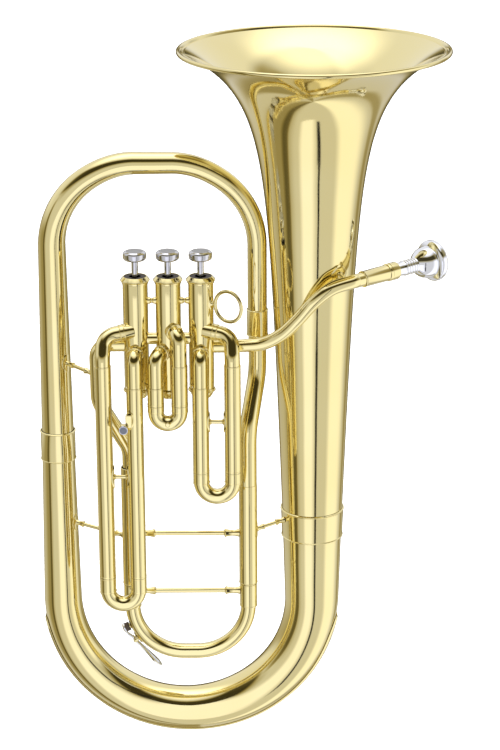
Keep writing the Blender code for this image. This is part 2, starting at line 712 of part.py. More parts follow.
def make_ties():
    """Turned ties and short port tubes between neighbouring casings."""
    half = VALVE_SPACING / 2 - 6 * MM
    for left, right in ((2, 1), (3, 2)):
        x = (VALVE_X[left] + VALVE_X[right]) / 2
        waist = [(0.0, half), (TIE_RADIUS, half), (TIE_RADIUS, 2.2 * MM),
                 (0.8 * TIE_RADIUS, 0.9 * MM), (0.8 * TIE_RADIUS, -0.9 * MM),
                 (TIE_RADIUS, -2.2 * MM), (TIE_RADIUS, -half), (0.0, -half)]
        tie = turned(f"casing_tie_{right}{left}", waist, sides=16, place=(x, VALVE_Y, TIE_Z),
                     direction=(1, 0, 0))
        band = ring_profile(PORT_RADIUS, PORT_RADIUS - 1.0 * MM, -half, half)
        port = turned(f"port_tube_{right}{left}", band, sides=16, place=(x, VALVE_Y, PORT_Z),
                      direction=(1, 0, 0), closed=True)
        for piece in (tie, port):
            boolean(piece, CASING_CUTTERS[left])
            boolean(piece, CASING_CUTTERS[right])


# =========================================================================================
# Valve slides
# =========================================================================================
def elbow_start(valve, leg_x, level):
    """Where an elbow leaves its casing, and in which direction."""
    z = HIGH_ELBOW_Z if level == "high" else LOW_ELBOW_Z
    offset = leg_x - VALVE_X[valve]
    if abs(offset) > CASING_RADIUS + 5 * MM:
        side = math.copysign(1, offset)
        centre = (VALVE_X[valve] + side * 2 * MM, VALVE_Y - 6 * MM, z)
        return centre, (side, 0, 0)
    return (VALVE_X[valve], VALVE_Y, z), Vector((offset, SLIDE_Y - VALVE_Y, 0)).normalized()[:]


def make_sleeves():
    """Each sleeve is an elbow from the casing that widens, below its seam, into a sleeve."""
    for label, slide in VALVE_SLIDES.items():
        n = slide["valve"]
        for side in ("left", "right"):
            x, level = slide[side]
            start, way = elbow_start(n, x, level)
            seam = HIGH_SEAM_Z if level == "high" else LOW_SEAM_Z
            z = start[2]
            low = slide["sleeve_low"] + GAP / 2
            if abs(way[0]) == 1:
                corner = (x - way[0] * 1 * MM, start[1] - 5 * MM, z - 4.2 * MM)
                corners = [start, corner, (x, SLIDE_Y, z - 24 * MM), (x, SLIDE_Y, low)]
                bends = [0.0110, 0.0140]
            else:
                corners = [start, (x, SLIDE_Y, z), (x, SLIDE_Y, low)]
                bends = [0.0105]
            points = bent_route(corners, bends, step=30)
            end = seam - low
            stations = [(0, ELBOW_RADIUS), (-end - 0.2 * MM, ELBOW_RADIUS),
                        (-end + 0.2 * MM, SLEEVE_RADIUS), (END, SLEEVE_RADIUS)]
            sleeve = tube(f"{label}_sleeve_{side}", points, stations, SLEEVE_WALL, sides=12)
            sleeve = mesh_of(sleeve)
            boolean(sleeve, CASING_CUTTERS[n])
            shade(sleeve)


def make_valve_slides():
    leg_radius = (SLEEVE_RADIUS - SLEEVE_WALL) * math.cos(math.pi / 12) - SLIDE_PLAY
    for label, slide in VALVE_SLIDES.items():
        left, right = slide["left"][0], slide["right"][0]
        leg_top = slide["sleeve_low"] + slide["legs"]
        bow_z = slide["bow_z"]
        corners = [(left, SLIDE_Y, leg_top), (left, SLIDE_Y, bow_z), (right, SLIDE_Y, bow_z),
                   (right, SLIDE_Y, leg_top)]
        bend = min(slide["bend"], (right - left) / 2 - 0.1 * MM)
        points = bent_route(corners, [bend, bend], step=30)
        inside = slide["legs"] + GAP / 2
        ferrule_end = slide["legs"] + slide["ferrule"]
        half = (step_stations(inside, leg_radius, SLEEVE_RADIUS)
                + step_stations(ferrule_end, SLEEVE_RADIUS, SLIDE_BOW_RADIUS))
        mirrored = [(-d, r) for d, r in reversed(half)]
        tube(f"{label}_slide", points, [(0, leg_radius), *half, *mirrored], SLEEVE_WALL, sides=12)


# =========================================================================================
# Leadpipe and mouthpiece
# =========================================================================================
def mouthpiece_direction():
    azimuth, rise = math.radians(MOUTHPIECE_AZIMUTH), math.radians(MOUTHPIECE_RISE)
    return Vector((math.cos(rise) * math.cos(azimuth), math.cos(rise) * math.sin(azimuth),
                   math.sin(rise)))


def make_leadpipe():
    way = mouthpiece_direction()
    y = VALVE_Y + 3 * MM
    knots = [(VALVE_X[1] + 1.7 * MM, y, 0.4154), (0.0390, y, 0.4155), (0.0580, y - 0.5 * MM, 0.4162),
             (0.0760, y - 3 * MM, 0.4190), (0.0920, y - 7.5 * MM, 0.4285),
             (0.1070, y - 13.5 * MM, 0.4445), (0.1220, y - 18 * MM, 0.4630),
             (0.1390, y - 17.0 * MM, 0.4762), RECEIVER_START - way * 13 * MM,
             RECEIVER_START - way * 6 * MM, RECEIVER_START - way * GAP]
    points = smooth_route(knots, 2)
    sweep_cutter("leadpipe_clearance", points, LEADPIPE_RADIUS_RECEIVER + 1.5 * GAP)
    pipe = tube("leadpipe", points, [(0, LEADPIPE_RADIUS_VALVE), (END, LEADPIPE_RADIUS_RECEIVER)],
                THIN_WALL, sides=12)
    pipe = mesh_of(pipe)
    boolean(pipe, CASING_CUTTERS[1])
    shade(pipe)


def make_receiver_and_mouthpiece():
    way = mouthpiece_direction()
    length = RECEIVER_LENGTH
    socket = SHANK_RADIUS + 0.15 * MM
    depth = MOUTHPIECE_INSERTED + 2 * MM
    profile = [(RECEIVER_RADIUS + 0.1 * MM, length), (RECEIVER_RADIUS + 0.7 * MM, length - 0.8 * MM),
               (RECEIVER_RADIUS + 0.7 * MM, length - 11.5 * MM), (RECEIVER_RADIUS, length - 12 * MM),
               (RECEIVER_RADIUS - 0.2 * MM, 0.7 * MM), (RECEIVER_RADIUS - 0.5 * MM, GAP / 2),
               (4.9 * MM, GAP / 2), (4.9 * MM, length - depth - 1 * MM),
               (socket, length - depth), (socket, length)]
    turned("mouthpiece_receiver", profile, sides=20, place=RECEIVER_START, direction=way,
           closed=True)
    face = length + MOUTHPIECE_SHOWING
    rim = MOUTHPIECE_RIM_RADIUS
    cup = rim - 6.9 * MM
    tip = length - MOUTHPIECE_INSERTED
    profile = [(cup + 2.2 * MM, face), (rim - 1.1 * MM, face - 1.0 * MM), (rim, face - 3.2 * MM),
               (rim - 0.3 * MM, face - 6.0 * MM), (rim - 2.4 * MM, face - 8.8 * MM),
               (rim - 5.2 * MM, face - 9.8 * MM), (rim - 5.6 * MM, face - 13.0 * MM),
               (rim - 6.9 * MM, face - 18.0 * MM), (rim - 9.3 * MM, face - 22.5 * MM),
               (rim - 12.2 * MM, face - 26.0 * MM), (7.0 * MM, face - 27.5 * MM),
               (7.2 * MM, face - 36.0 * MM), (SHANK_RADIUS + 0.6 * MM, length + GAP + 1.5 * MM),
               (SHANK_RADIUS, length + GAP), (SHANK_RADIUS - 0.5 * MM, tip), (4.6 * MM, tip),
               (3.3 * MM, face - 34 * MM), (3.6 * MM, face - 28 * MM), (8.2 * MM, face - 21 * MM),
               (cup - 1.6 * MM, face - 12 * MM), (cup, face - 2.4 * MM), (cup + 0.9 * MM, face - 0.5 * MM)]
    turned("mouthpiece", profile, "silver_plate", 20, RECEIVER_START, way, closed=True)


# =========================================================================================
# Braces, finger ring, lyre holder and water key
# =========================================================================================
def brace_profile(length, socket_length, socket_radius, rod):
    """A slim rod with a turned socket at each end."""
    half = length / 2
    neck = half - socket_length
    upper = [(0.0, half), (socket_radius, half), (socket_radius, neck + 1.5 * MM),
             (0.75 * socket_radius, neck + 0.8 * MM), (rod, neck)]
    lower = [(r, -z) for r, z in reversed(upper)]
    return upper + lower


def make_brace(name, start, end, socket_length, cutters, socket_radius=SLIM_SOCKET_RADIUS,
               rod=SLIM_ROD_RADIUS, flange=None):
    """A brace between two tubes: a rod trimmed by clearance cylinders around the tubes."""
    start, end = Vector(start), Vector(end)
    way = (end - start).normalized()
    profile = brace_profile((end - start).length, socket_length, socket_radius, rod)
    brace = turned(name, profile, sides=12, place=(start + end) / 2, direction=way)
    if flange:
        long, wide, from_end = flange
        for k, (point, toward) in enumerate(((start, 1), (end, -1))):
            plate = cylinder_cutter(f"{name}_flange_{k + 1}", point + way * toward * from_end, way,
                                    long / 2, 1.4 * MM, 16)
            plate.data.transform(Matrix.Scale(wide / long, 4, (1, 0, 0)))
            plate.matrix_world = (Matrix.Translation(point + way * toward * from_end)
                                  @ upright(way))
            boolean(brace, plate, "UNION")
    for cutter in cutters:
        boolean(brace, cutter)
    return brace


def upright(way):
    """Rotation that turns +Z to a level direction and keeps +Y upright."""
    z = Vector(way).normalized()
    y = Vector((0, 0, 1))
    x = y.cross(z).normalized()
    y = z.cross(x)
    return Matrix((x, y, z)).transposed().to_4x4()


def make_braces():
    def clearance(name, x, y, radius, z):
        return cylinder_cutter(name, (x, y, z), (0, 0, 1), radius + GAP, 0.08)

    left_low = clearance("left_sleeve_clearance", TUNING_LEFT_X, TUNING_Y, TUNING_SLEEVE_RADIUS,
                         SLEEVE_BRACE_Z)
    right_low = clearance("right_sleeve_clearance", TUNING_RIGHT_X, TUNING_Y,
                          TUNING_SLEEVE_RADIUS, SLEEVE_BRACE_Z)
    make_brace("sleeve_brace", (TUNING_LEFT_X, TUNING_Y, SLEEVE_BRACE_Z),
               (TUNING_RIGHT_X, TUNING_Y, SLEEVE_BRACE_Z), 24 * MM, [left_low, right_low],
               BRACE_SOCKET_RADIUS, BRACE_ROD_RADIUS)

    ferrule_radius = TUNING_SLEEVE_RADIUS - 0.4 * MM
    left_bow = clearance("left_bow_clearance", TUNING_LEFT_X, TUNING_Y, ferrule_radius,
                         TUNING_BRACE_Z)
    right_bow = clearance("right_bow_clearance", TUNING_RIGHT_X, TUNING_Y, ferrule_radius,
                          TUNING_BRACE_Z)
    make_brace("tuning_slide_brace", (TUNING_LEFT_X, TUNING_Y, TUNING_BRACE_Z),
               (TUNING_RIGHT_X, TUNING_Y, TUNING_BRACE_Z), 24 * MM, [left_bow, right_bow],
               BRACE_SOCKET_RADIUS, BRACE_ROD_RADIUS)

    leg_at = bow_tube_radius(-math.pi / 2) - 1.2 * MM
    leg = clearance("left_leg_clearance", -BOW_RADIUS, 0, leg_at, SLEEVE_BRACE_Z)
    make_brace("lower_branch_brace", (-BOW_RADIUS, 0, SLEEVE_BRACE_Z + 5 * MM),
               (TUNING_LEFT_X, TUNING_Y, SLEEVE_BRACE_Z - 4 * MM), 21 * MM, [leg, left_low])
    ferrule = clearance("bell_ferrule_clearance", BOW_RADIUS, 0,
                        bell_radius(BELL_JOINT_Z + BELL_FERRULE_LENGTH / 2) + GAP + FERRULE_WALL,
                        SLEEVE_BRACE_Z)
    make_brace("bell_brace", (TUNING_RIGHT_X, TUNING_Y, SLEEVE_BRACE_Z + 1 * MM),
               (BOW_RADIUS, 0, SLEEVE_BRACE_Z + 12 * MM), 15 * MM, [ferrule, right_low])
    exit_x = -0.0813
    branch = CUTTERS.objects["exit_branch_clearance"]
    upper = clearance("upper_leg_clearance", -BOW_RADIUS, 0, BRANCH_JOINT_RADIUS, 0.3885)
    make_brace("upper_branch_brace", (-BOW_RADIUS, 0, 0.3935), (exit_x, -0.0315, 0.3865), 17 * MM,
               [upper, branch])

    for label, z, flange in (("third", 0.2940, 0.0230), ("first", 0.3489, 0.0200)):
        slide = VALVE_SLIDES[label]
        left, right = slide["left"][0], slide["right"][0]
        cutters = [clearance(f"{label}_{side}_clearance", slide[side][0], SLIDE_Y, SLEEVE_RADIUS, z)
                   for side in ("left", "right")]
        make_brace(f"{label}_slide_brace", (left, SLIDE_Y, z), (right, SLIDE_Y, z), 10.5 * MM,
                   cutters, 2.4 * MM, SLIM_ROD_RADIUS, (flange, 5.4 * MM, SLEEVE_RADIUS + GAP + 0.5 * MM))


def make_leadpipe_brace():
    """A short post between the leadpipe and the front of the bell."""
    z = 0.4870
    point = Vector((0.1555, -0.0445, 0.4800))
    target = Vector((BOW_RADIUS + 18 * MM, 0, z + 4 * MM))
    pipe = CUTTERS.objects["leadpipe_clearance"]
    bell = cylinder_cutter("bell_clearance", (BOW_RADIUS, 0, z), (0, 0, 1),
                           bell_radius(z + 8 * MM) + 2 * GAP, 0.06)
    make_brace("leadpipe_brace", point, target, 16 * MM, [pipe, bell])


def make_finger_ring():
    """A wire ring for the hand, soldered to the first casing."""
    turn = math.radians(-33)
    outward = Vector((math.cos(turn), math.sin(turn), 0))
    reach = CASING_RADIUS + RING_FOOT_LENGTH + RING_RADIUS
    centre = Vector((VALVE_X[1], VALVE_Y, RING_Z)) + outward * reach
    count = 20
    up = Vector((0, 0, 1))
    circle = [centre + RING_RADIUS * (outward * math.cos(a) + up * math.sin(a))
              for a in (2 * math.pi * i / count for i in range(count))]
    curve = sweep_curve("finger_ring", [(p, RING_WIRE_RADIUS) for p in circle], 8)
    curve.splines[0].use_cyclic_u = True
    ring = mesh_of(link_piece("finger_ring", curve))
    near_end = centre - outward * (RING_RADIUS + RING_FOOT_LENGTH / 2)
    foot = cylinder_cutter("finger_ring_foot", near_end, outward, RING_FOOT_RADIUS,
                           RING_FOOT_LENGTH, 12)
    boolean(ring, foot, "UNION")
    boolean(ring, CASING_CUTTERS[1])
    shade(ring)


def make_lyre_holder():
    """A small square socket on the third slide's right sleeve, with its thumbscrew."""
    x = VALVE_SLIDES["third"]["right"][0] - 5.6 * MM
    y = SLIDE_Y - 8.0 * MM
    middle = 0.3530
    outer, inner, height = 6.0 * MM, 3.4 * MM, 12.0 * MM
    lug_x, lug_z = x - 4.8 * MM, middle - 6.8 * MM
    holder = link_piece("lyre_holder", box_mesh("lyre_holder", (outer, outer, height)))
    holder.location = (x, y, middle)
    lug = link_cutter("lyre_lug", box_mesh("lyre_lug", (6.6 * MM, outer - 0.4 * MM, 6.6 * MM)))
    lug.location = (lug_x, y, lug_z)
    socket = link_cutter("lyre_socket", box_mesh("lyre_socket", (inner, inner, height)))
    socket.location = (x, y, middle + 4.0 * MM)
    screw = (lug_x, y - outer / 2, lug_z)
    hole = cylinder_cutter("lyre_screw_hole", screw, (0, -1, 0), 1.1 * MM + 0.1 * MM, 6 * MM, 12)
    sleeve_x = VALVE_SLIDES["third"]["right"][0]
    sleeve = cylinder_cutter("lyre_sleeve_clearance", (sleeve_x, SLIDE_Y, middle), (0, 0, 1),
                             SLEEVE_RADIUS + GAP, 0.05)
    boolean(holder, lug, "UNION")
    for cutter in (socket, hole, sleeve):
        boolean(holder, cutter)
    head = 4.3 * MM
    profile = [(0.0, 5.2 * MM), (head - 0.6 * MM, 5.2 * MM), (head, 4.6 * MM), (head, 2.8 * MM),
               (head - 0.6 * MM, 2.2 * MM), (1.9 * MM, 2.2 * MM), (1.9 * MM, GAP),
               (1.1 * MM, GAP), (1.1 * MM, -2.4 * MM), (0.0, -2.4 * MM)]
    turned("lyre_screw", profile, "nickel_plate", 16, screw, (0, -1, 0))


def bow_frame(angle):
    """The main tuning slide's left bend at an angle from its lowest point, in degrees.

    Returns the outermost surface point, the outward direction and the one along the tube.
    """
    centre = Vector((TUNING_LEFT_X + TUNING_BEND, TUNING_Y, TUNING_BOW_Z + TUNING_BEND))
    turn = math.radians(angle)
    outward = Vector((-math.sin(turn), 0, -math.cos(turn)))
    along = Vector((math.cos(turn), 0, -math.sin(turn)))
    return centre + outward * (TUNING_BEND + TUNING_BOW_RADIUS), outward, along


def box_mesh(name, size):
    work = bmesh.new()
    bmesh.ops.create_cube(work, size=1.0)
    bmesh.ops.scale(work, vec=size, verts=work.verts)
    mesh = bpy.data.meshes.new(name)
    work.to_mesh(mesh)
    work.free()
    return mesh


def make_water_key():
    """Saddle, lever and cork pad under the left bend of the main tuning slide."""
    surface, outward, along = bow_frame(KEY_ANGLE)
    turn = Matrix((along, Vector((0, 1, 0)), outward)).transposed().to_4x4()
    saddle = link_piece("water_key_saddle",
                        box_mesh("water_key_saddle", (6.0 * MM, 9.0 * MM, 6.0 * MM)))
    saddle.matrix_world = Matrix.Translation(surface + outward * (3.0 * MM + GAP)) @ turn
    slot = link_cutter("saddle_slot", box_mesh("saddle_slot", (8.0 * MM, 5.0 * MM, 6.0 * MM)))
    slot.matrix_world = Matrix.Translation(surface + outward * (4.2 * MM + GAP)) @ turn
    bow = cylinder_cutter("saddle_bow_clearance", surface - outward * TUNING_BOW_RADIUS, along,
                          TUNING_BOW_RADIUS + GAP + 0.5 * MM, 0.02)
    boolean(saddle, slot)
    boolean(saddle, bow)

    pad_surface, pad_outward, _ = bow_frame(KEY_PAD_ANGLE)
    turned("water_key_pad", [(0.0, 3.4 * MM), (4.0 * MM, 3.4 * MM), (4.0 * MM, 1.3 * MM),
                             (0.0, 1.3 * MM)], "cork", 16, pad_surface, pad_outward)

    cup_top = pad_surface + pad_outward * 6.0 * MM
    arm = [(cup_top, 1.1 * MM)]
    for along_mm, lift_mm, radius_mm in ((-9, 0.9, 1.1), (-2.5, 0, 1.5), (0, 0, 1.7),
                                         (2.5, 0, 1.5), (9, -0.7, 1.15), (24, -1.2, 1.15),
                                         (30, -1.6, 1.5), (35.7, -2.3, 1.5)):
        place = surface + along * along_mm * MM + outward * (KEY_PIVOT_HEIGHT + lift_mm * MM)
        arm.append((place, radius_mm * MM))
    lever = link_piece("water_key_lever", sweep_curve("water_key_lever", arm, 8, filled=True),
                       "silver_plate")
    lever = mesh_of(lever)
    cup = cylinder_cutter("water_key_cup", pad_surface + pad_outward * 5.0 * MM, pad_outward,
                          4.4 * MM, 2.4 * MM, 16)
    boolean(lever, cup, "UNION")
    shade(lever)


# =========================================================================================
# Assembly
# =========================================================================================
clear_scene()
PARTS = new_collection(NAME)
CUTTERS = new_collection(f"{NAME}_cutters")
CASING_CUTTERS = make_casing_cutters()

make_bell()
make_bell_ferrule()
make_bottom_bow()
make_bow_guard()
make_top_bow()
make_top_bow_ferrule()
make_descending_branch()
make_tuning_sleeves()
make_main_tuning_slide()
make_exit_branch()
make_casings()
make_caps()
make_pistons_and_buttons()
make_springs()
make_ties()
make_sleeves()
make_valve_slides()
make_leadpipe()
make_receiver_and_mouthpiece()
make_braces()
make_leadpipe_brace()
make_finger_ring()
make_lyre_holder()
make_water_key()
bpy.context.view_layer.update()
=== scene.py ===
# %% [markdown]
# # A lacquered euphonium
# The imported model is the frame: it says where every tube, valve and brace of the horn is.
# This lesson puts a fine skin over it: drawn and bent tubing, a spun bell, turned caps and
# ferrules, all in polished brass under clear lacquer, with silver and nickel fittings.

# %% Load the frame
import math

import bmesh
import bpy
from mathutils import Matrix, Vector


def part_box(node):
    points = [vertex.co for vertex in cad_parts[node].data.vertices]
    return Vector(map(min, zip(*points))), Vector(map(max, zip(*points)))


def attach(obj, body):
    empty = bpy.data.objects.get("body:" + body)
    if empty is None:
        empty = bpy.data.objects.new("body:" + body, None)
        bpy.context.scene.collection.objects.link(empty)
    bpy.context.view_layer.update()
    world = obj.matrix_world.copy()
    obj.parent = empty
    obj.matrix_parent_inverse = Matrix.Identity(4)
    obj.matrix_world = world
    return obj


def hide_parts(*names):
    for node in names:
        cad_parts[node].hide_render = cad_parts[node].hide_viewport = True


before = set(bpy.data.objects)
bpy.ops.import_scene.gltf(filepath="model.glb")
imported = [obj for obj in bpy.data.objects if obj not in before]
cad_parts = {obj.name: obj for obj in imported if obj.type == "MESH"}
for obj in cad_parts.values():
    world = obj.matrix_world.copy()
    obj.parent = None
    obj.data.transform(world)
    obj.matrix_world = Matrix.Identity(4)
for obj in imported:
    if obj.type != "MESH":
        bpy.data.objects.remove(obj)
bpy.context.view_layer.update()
MM = 0.001
HORN = "horn"

# %% [markdown]
# ## Shader maths in plain Python
# A finish on a real horn is never one number: lacquer is wavy, cloths leave hairlines and
# fingers leave film. Writing that with bare nodes is long, so a small class wraps a socket and
# lets an expression such as `1 - mask * 0.3` add its own Math nodes.

# %% Sockets as numbers
class Value:
    """A number that flows through a node tree, with Python's operators."""

    def __init__(self, net, socket):
        self.net, self.socket = net, socket

    def _math(self, operation, first, second=0.0):
        return self.net.add("ShaderNodeMath", {"operation": operation}, first, second)[0]

    def __add__(self, other):
        return self._math("ADD", self, other)

    def __sub__(self, other):
        return self._math("SUBTRACT", self, other)

    def __rsub__(self, other):
        return self._math("SUBTRACT", other, self)

    def __mul__(self, other):
        return self._math("MULTIPLY", self, other)

    __radd__, __rmul__ = __add__, __mul__

    def call(self, operation, other=0.0):
        return self._math(operation, self, other)

    def ramp(self, low, high):
        """0 below low, 1 above high and smooth between them."""
        return self.net.add("ShaderNodeMapRange", {"interpolation_type": "SMOOTHSTEP"},
                            self, low, high, 0.0, 1.0)[0]


class Net:
    """A node tree that is filled by calls."""

    def __init__(self, tree):
        self.tree = tree

    def add(self, kind, settings, *values, **named):
        """Adds a node: settings first, then values or links for its sockets."""
        node = self.tree.nodes.new(kind)
        for key, value in settings.items():
            setattr(node, key, value)
        for key, value in [*enumerate(values), *named.items()]:
            target = node.inputs[key.replace("_", " ") if isinstance(key, str) else key]
            if isinstance(value, Value):
                self.tree.links.new(value.socket, target)
            elif value is not None:
                target.default_value = value
        return [Value(self, socket) for socket in node.outputs]

    def mix(self, factor, first, second):
        """A colour between two colours."""
        node = self.tree.nodes.new("ShaderNodeMix")
        node.data_type = "RGBA"
        sockets = [s for s in node.inputs if s.enabled]
        for target, value in zip(sockets, (factor, first, second)):
            if isinstance(value, Value):
                self.tree.links.new(value.socket, target)
            else:
                target.default_value = value
        return Value(self, next(s for s in node.outputs if s.enabled))


def new_material(name):
    material = bpy.data.materials.new(name)
    material.use_nodes = True
    net = Net(material.node_tree)
    shader = next(n for n in net.tree.nodes if n.type == "BSDF_PRINCIPLED")
    return material, net, shader


def feed(net, shader, **sockets):
    """Sets a shader's sockets to numbers, colours or links."""
    for name, value in sockets.items():
        target = shader.inputs[name.replace("_", " ")]
        if isinstance(value, Value):
            net.tree.links.new(value.socket, target)
        else:
            target.default_value = value


print("shader helpers ready")

# %% [markdown]
# ## Metals
# Lacquered brass is a mirror with a tint: pale where it shows a lamp and deep gold where it
# shows other brass. Three things stop it from looking like plastic: a slow waviness left by
# hand buffing, hairlines from polishing cloths, and a thin film that dulls some patches.

# %% One recipe for every polished metal
def polished_metal(name, colour, deep, roughness, wave, hairline, coat):
    """A buffed metal under a clear coat, patterned in the object's own space."""
    material, net, shader = new_material(name)
    place = net.add("ShaderNodeTexCoord", {})[3]
    film = net.add("ShaderNodeTexNoise", {}, Vector=place, Scale=38.0, Detail=3.0)[0]
    cloudy = net.add("ShaderNodeTexNoise", {}, Vector=place, Scale=9.0, Detail=2.0)[0]
    stretched = net.add("ShaderNodeMapping", {}, place, None, (0.5, 0.2, 0.1),
                        (2600.0, 2600.0, 90.0))[0]
    lines = net.add("ShaderNodeTexNoise", {}, Vector=stretched, Scale=1.0, Detail=1.0)[0]
    swell = net.add("ShaderNodeTexNoise", {}, Vector=place, Scale=26.0, Detail=1.0)[0]
    tint = net.mix(cloudy.ramp(0.35, 0.75) * 0.5, colour, deep)
    rough = roughness * (0.75 + film.ramp(0.3, 0.8) * 0.5) + lines.ramp(0.55, 0.8) * hairline
    height = swell + lines * 0.012
    bump = net.add("ShaderNodeBump", {}, Strength=1.0, Distance=wave, Height=height)[0]
    feed(net, shader, Base_Color=tint, Metallic=1.0, Roughness=rough, Normal=bump,
         Coat_Weight=coat, Coat_Roughness=0.03)
    return material


BRASS = polished_metal("lacquered_brass", (0.91, 0.795, 0.395, 1), (0.88, 0.735, 0.31, 1),
                       0.075, 0.00022, 0.03, 0.35)
SILVER = polished_metal("silver_plate", (0.91, 0.92, 0.94, 1), (0.86, 0.87, 0.90, 1),
                        0.05, 0.0001, 0.02, 0.0)
NICKEL = polished_metal("nickel_plate", (0.70, 0.70, 0.72, 1), (0.60, 0.60, 0.62, 1),
                        0.11, 0.0001, 0.04, 0.0)
STEEL = polished_metal("spring_steel", (0.55, 0.54, 0.52, 1), (0.40, 0.39, 0.37, 1),
                       0.32, 0.0001, 0.10, 0.0)


# %% Cork, felt, and the satin faces of the buttons and the lyre screw
def make_cork():
    """Dark pressed cork: soft, pitted and dull."""
    material, net, shader = new_material("cork")
    place = net.add("ShaderNodeTexCoord", {})[3]
    grain = net.add("ShaderNodeTexVoronoi", {}, Vector=place, Scale=1400.0)[0]
    blotch = net.add("ShaderNodeTexNoise", {}, Vector=place, Scale=900.0, Detail=2.0)[0]
    tint = net.mix(blotch, (0.035, 0.026, 0.020, 1), (0.11, 0.08, 0.055, 1))
    bump = net.add("ShaderNodeBump", {}, Strength=0.6, Distance=0.0002, Height=grain)[0]
    feed(net, shader, Base_Color=tint, Roughness=0.86, Normal=bump)
    return material


def make_satin(name, bright, dull):
    """A fine-grained face that spreads its reflections: brushed nickel, or dark felt."""
    material, net, shader = new_material(name)
    place = net.add("ShaderNodeTexCoord", {})[3]
    grain = net.add("ShaderNodeTexNoise", {}, Vector=place, Scale=2200.0, Detail=2.0)[0]
    tint = net.mix(grain * 0.6, bright, dull)
    bump = net.add("ShaderNodeBump", {}, Strength=0.35, Distance=0.00005, Height=grain)[0]
    feed(net, shader, Base_Color=tint, Metallic=1.0, Roughness=0.30 + grain * 0.1, Normal=bump)
    return material


CORK = make_cork()
SATIN = make_satin("satin_nickel", (0.52, 0.52, 0.52, 1), (0.42, 0.42, 0.42, 1))
DULL = make_satin("dull_nickel", (0.22, 0.23, 0.25, 1), (0.14, 0.15, 0.17, 1))
FELT = make_satin("cap_felt", (0.030, 0.018, 0.012, 1), (0.016, 0.010, 0.007, 1))
print("materials:", [m.name for m in (BRASS, SILVER, NICKEL, STEEL, CORK, SATIN, DULL, FELT)])

# %% [markdown]
# ## Routes
# Horn tubing is drawn straight, then bent round a former, so a route is a set of corners with
# bend radii. The leadpipe is bent by hand, so it is a smooth curve through a few knots. A
# station gives the tube's radius at a distance, and steps between stations make ferrules.

# %% Bent routes, smooth routes and radii
END = 1000.0


def bent_route(corners, bends, step=3.0):
    """Straight runs through the corners, joined by arcs of the given bend radii."""
    corners = [Vector(c) for c in corners]
    points = [corners[0]]
    for before, corner, after, bend in zip(corners, corners[1:], corners[2:], bends):
        arriving = (corner - before).normalized()
        leaving = (after - corner).normalized()
        turn = arriving.angle(leaving)
        axis = arriving.cross(leaving).normalized()
        start = corner - arriving * bend * math.tan(turn / 2)
        centre = start + axis.cross(arriving) * bend
        count = max(3, round(math.degrees(turn) / step))
        for i in range(count + 1):
            points.append(centre + Matrix.Rotation(turn * i / count, 3, axis) @ (start - centre))
    points.append(corners[-1])
    return points


def smooth_route(knots, per_span=12):
    """A Catmull-Rom curve through the knots."""
    knots = [Vector(k) for k in knots]
    padded = [2 * knots[0] - knots[1], *knots, 2 * knots[-1] - knots[-2]]
    points = []
    for a, b, c, d in zip(padded, padded[1:], padded[2:], padded[3:]):
        for i in range(per_span):
            t = i / per_span
            points.append(0.5 * (2 * b + (c - a) * t + (2 * a - 5 * b + 4 * c - d) * t * t
                                 + (3 * b - a - 3 * c + d) * t ** 3))
    points.append(knots[-1])
    return points


def radius_at(distance, stations):
    for (d0, r0), (d1, r1) in zip(stations, stations[1:]):
        if distance <= d1:
            return r0 + (r1 - r0) * max(0.0, distance - d0) / max(d1 - d0, 1e-9)
    return stations[-1][1]


def with_radii(points, stations):
    """Adds a point at every station and gives each point its radius."""
    lengths = [0.0]
    for a, b in zip(points, points[1:]):
        lengths.append(lengths[-1] + (b - a).length)
    total = lengths[-1]
    stations = [(min(total + d if d < 0 else d, total), r) for d, r in stations]
    wanted = {round(d, 6) for d in lengths}
    wanted |= {round(d, 6) for d, r in stations if 0 < d < total - 0.01 * MM}
    result, i = [], 1
    for d in sorted(wanted):
        while i < len(points) - 1 and lengths[i] < d - 1e-7:
            i += 1
        share = (d - lengths[i - 1]) / max(lengths[i] - lengths[i - 1], 1e-9)
        result.append((points[i - 1].lerp(points[i], share), radius_at(d, stations)))
    return result


print("a right-angle bend has", len(bent_route([(0, 0, 1), (0, 0, 0), (1, 0, 0)], [0.5])), "points")

# %% [markdown]
# ## The tube drawer
# Every tube is the same idea: a circle carried along a path. Geometry Nodes do exactly that
# with Curve to Mesh, and a radius attribute on the path's points swells the circle where a
# ferrule or a taper is. A Solidify modifier then gives the sheet brass its wall.

# %% A Geometry Nodes tree that carries a circle along a path
def placed(name, data):
    """A new object in the scene."""
    obj = bpy.data.objects.new(name, data)
    bpy.context.scene.collection.objects.link(obj)
    return obj


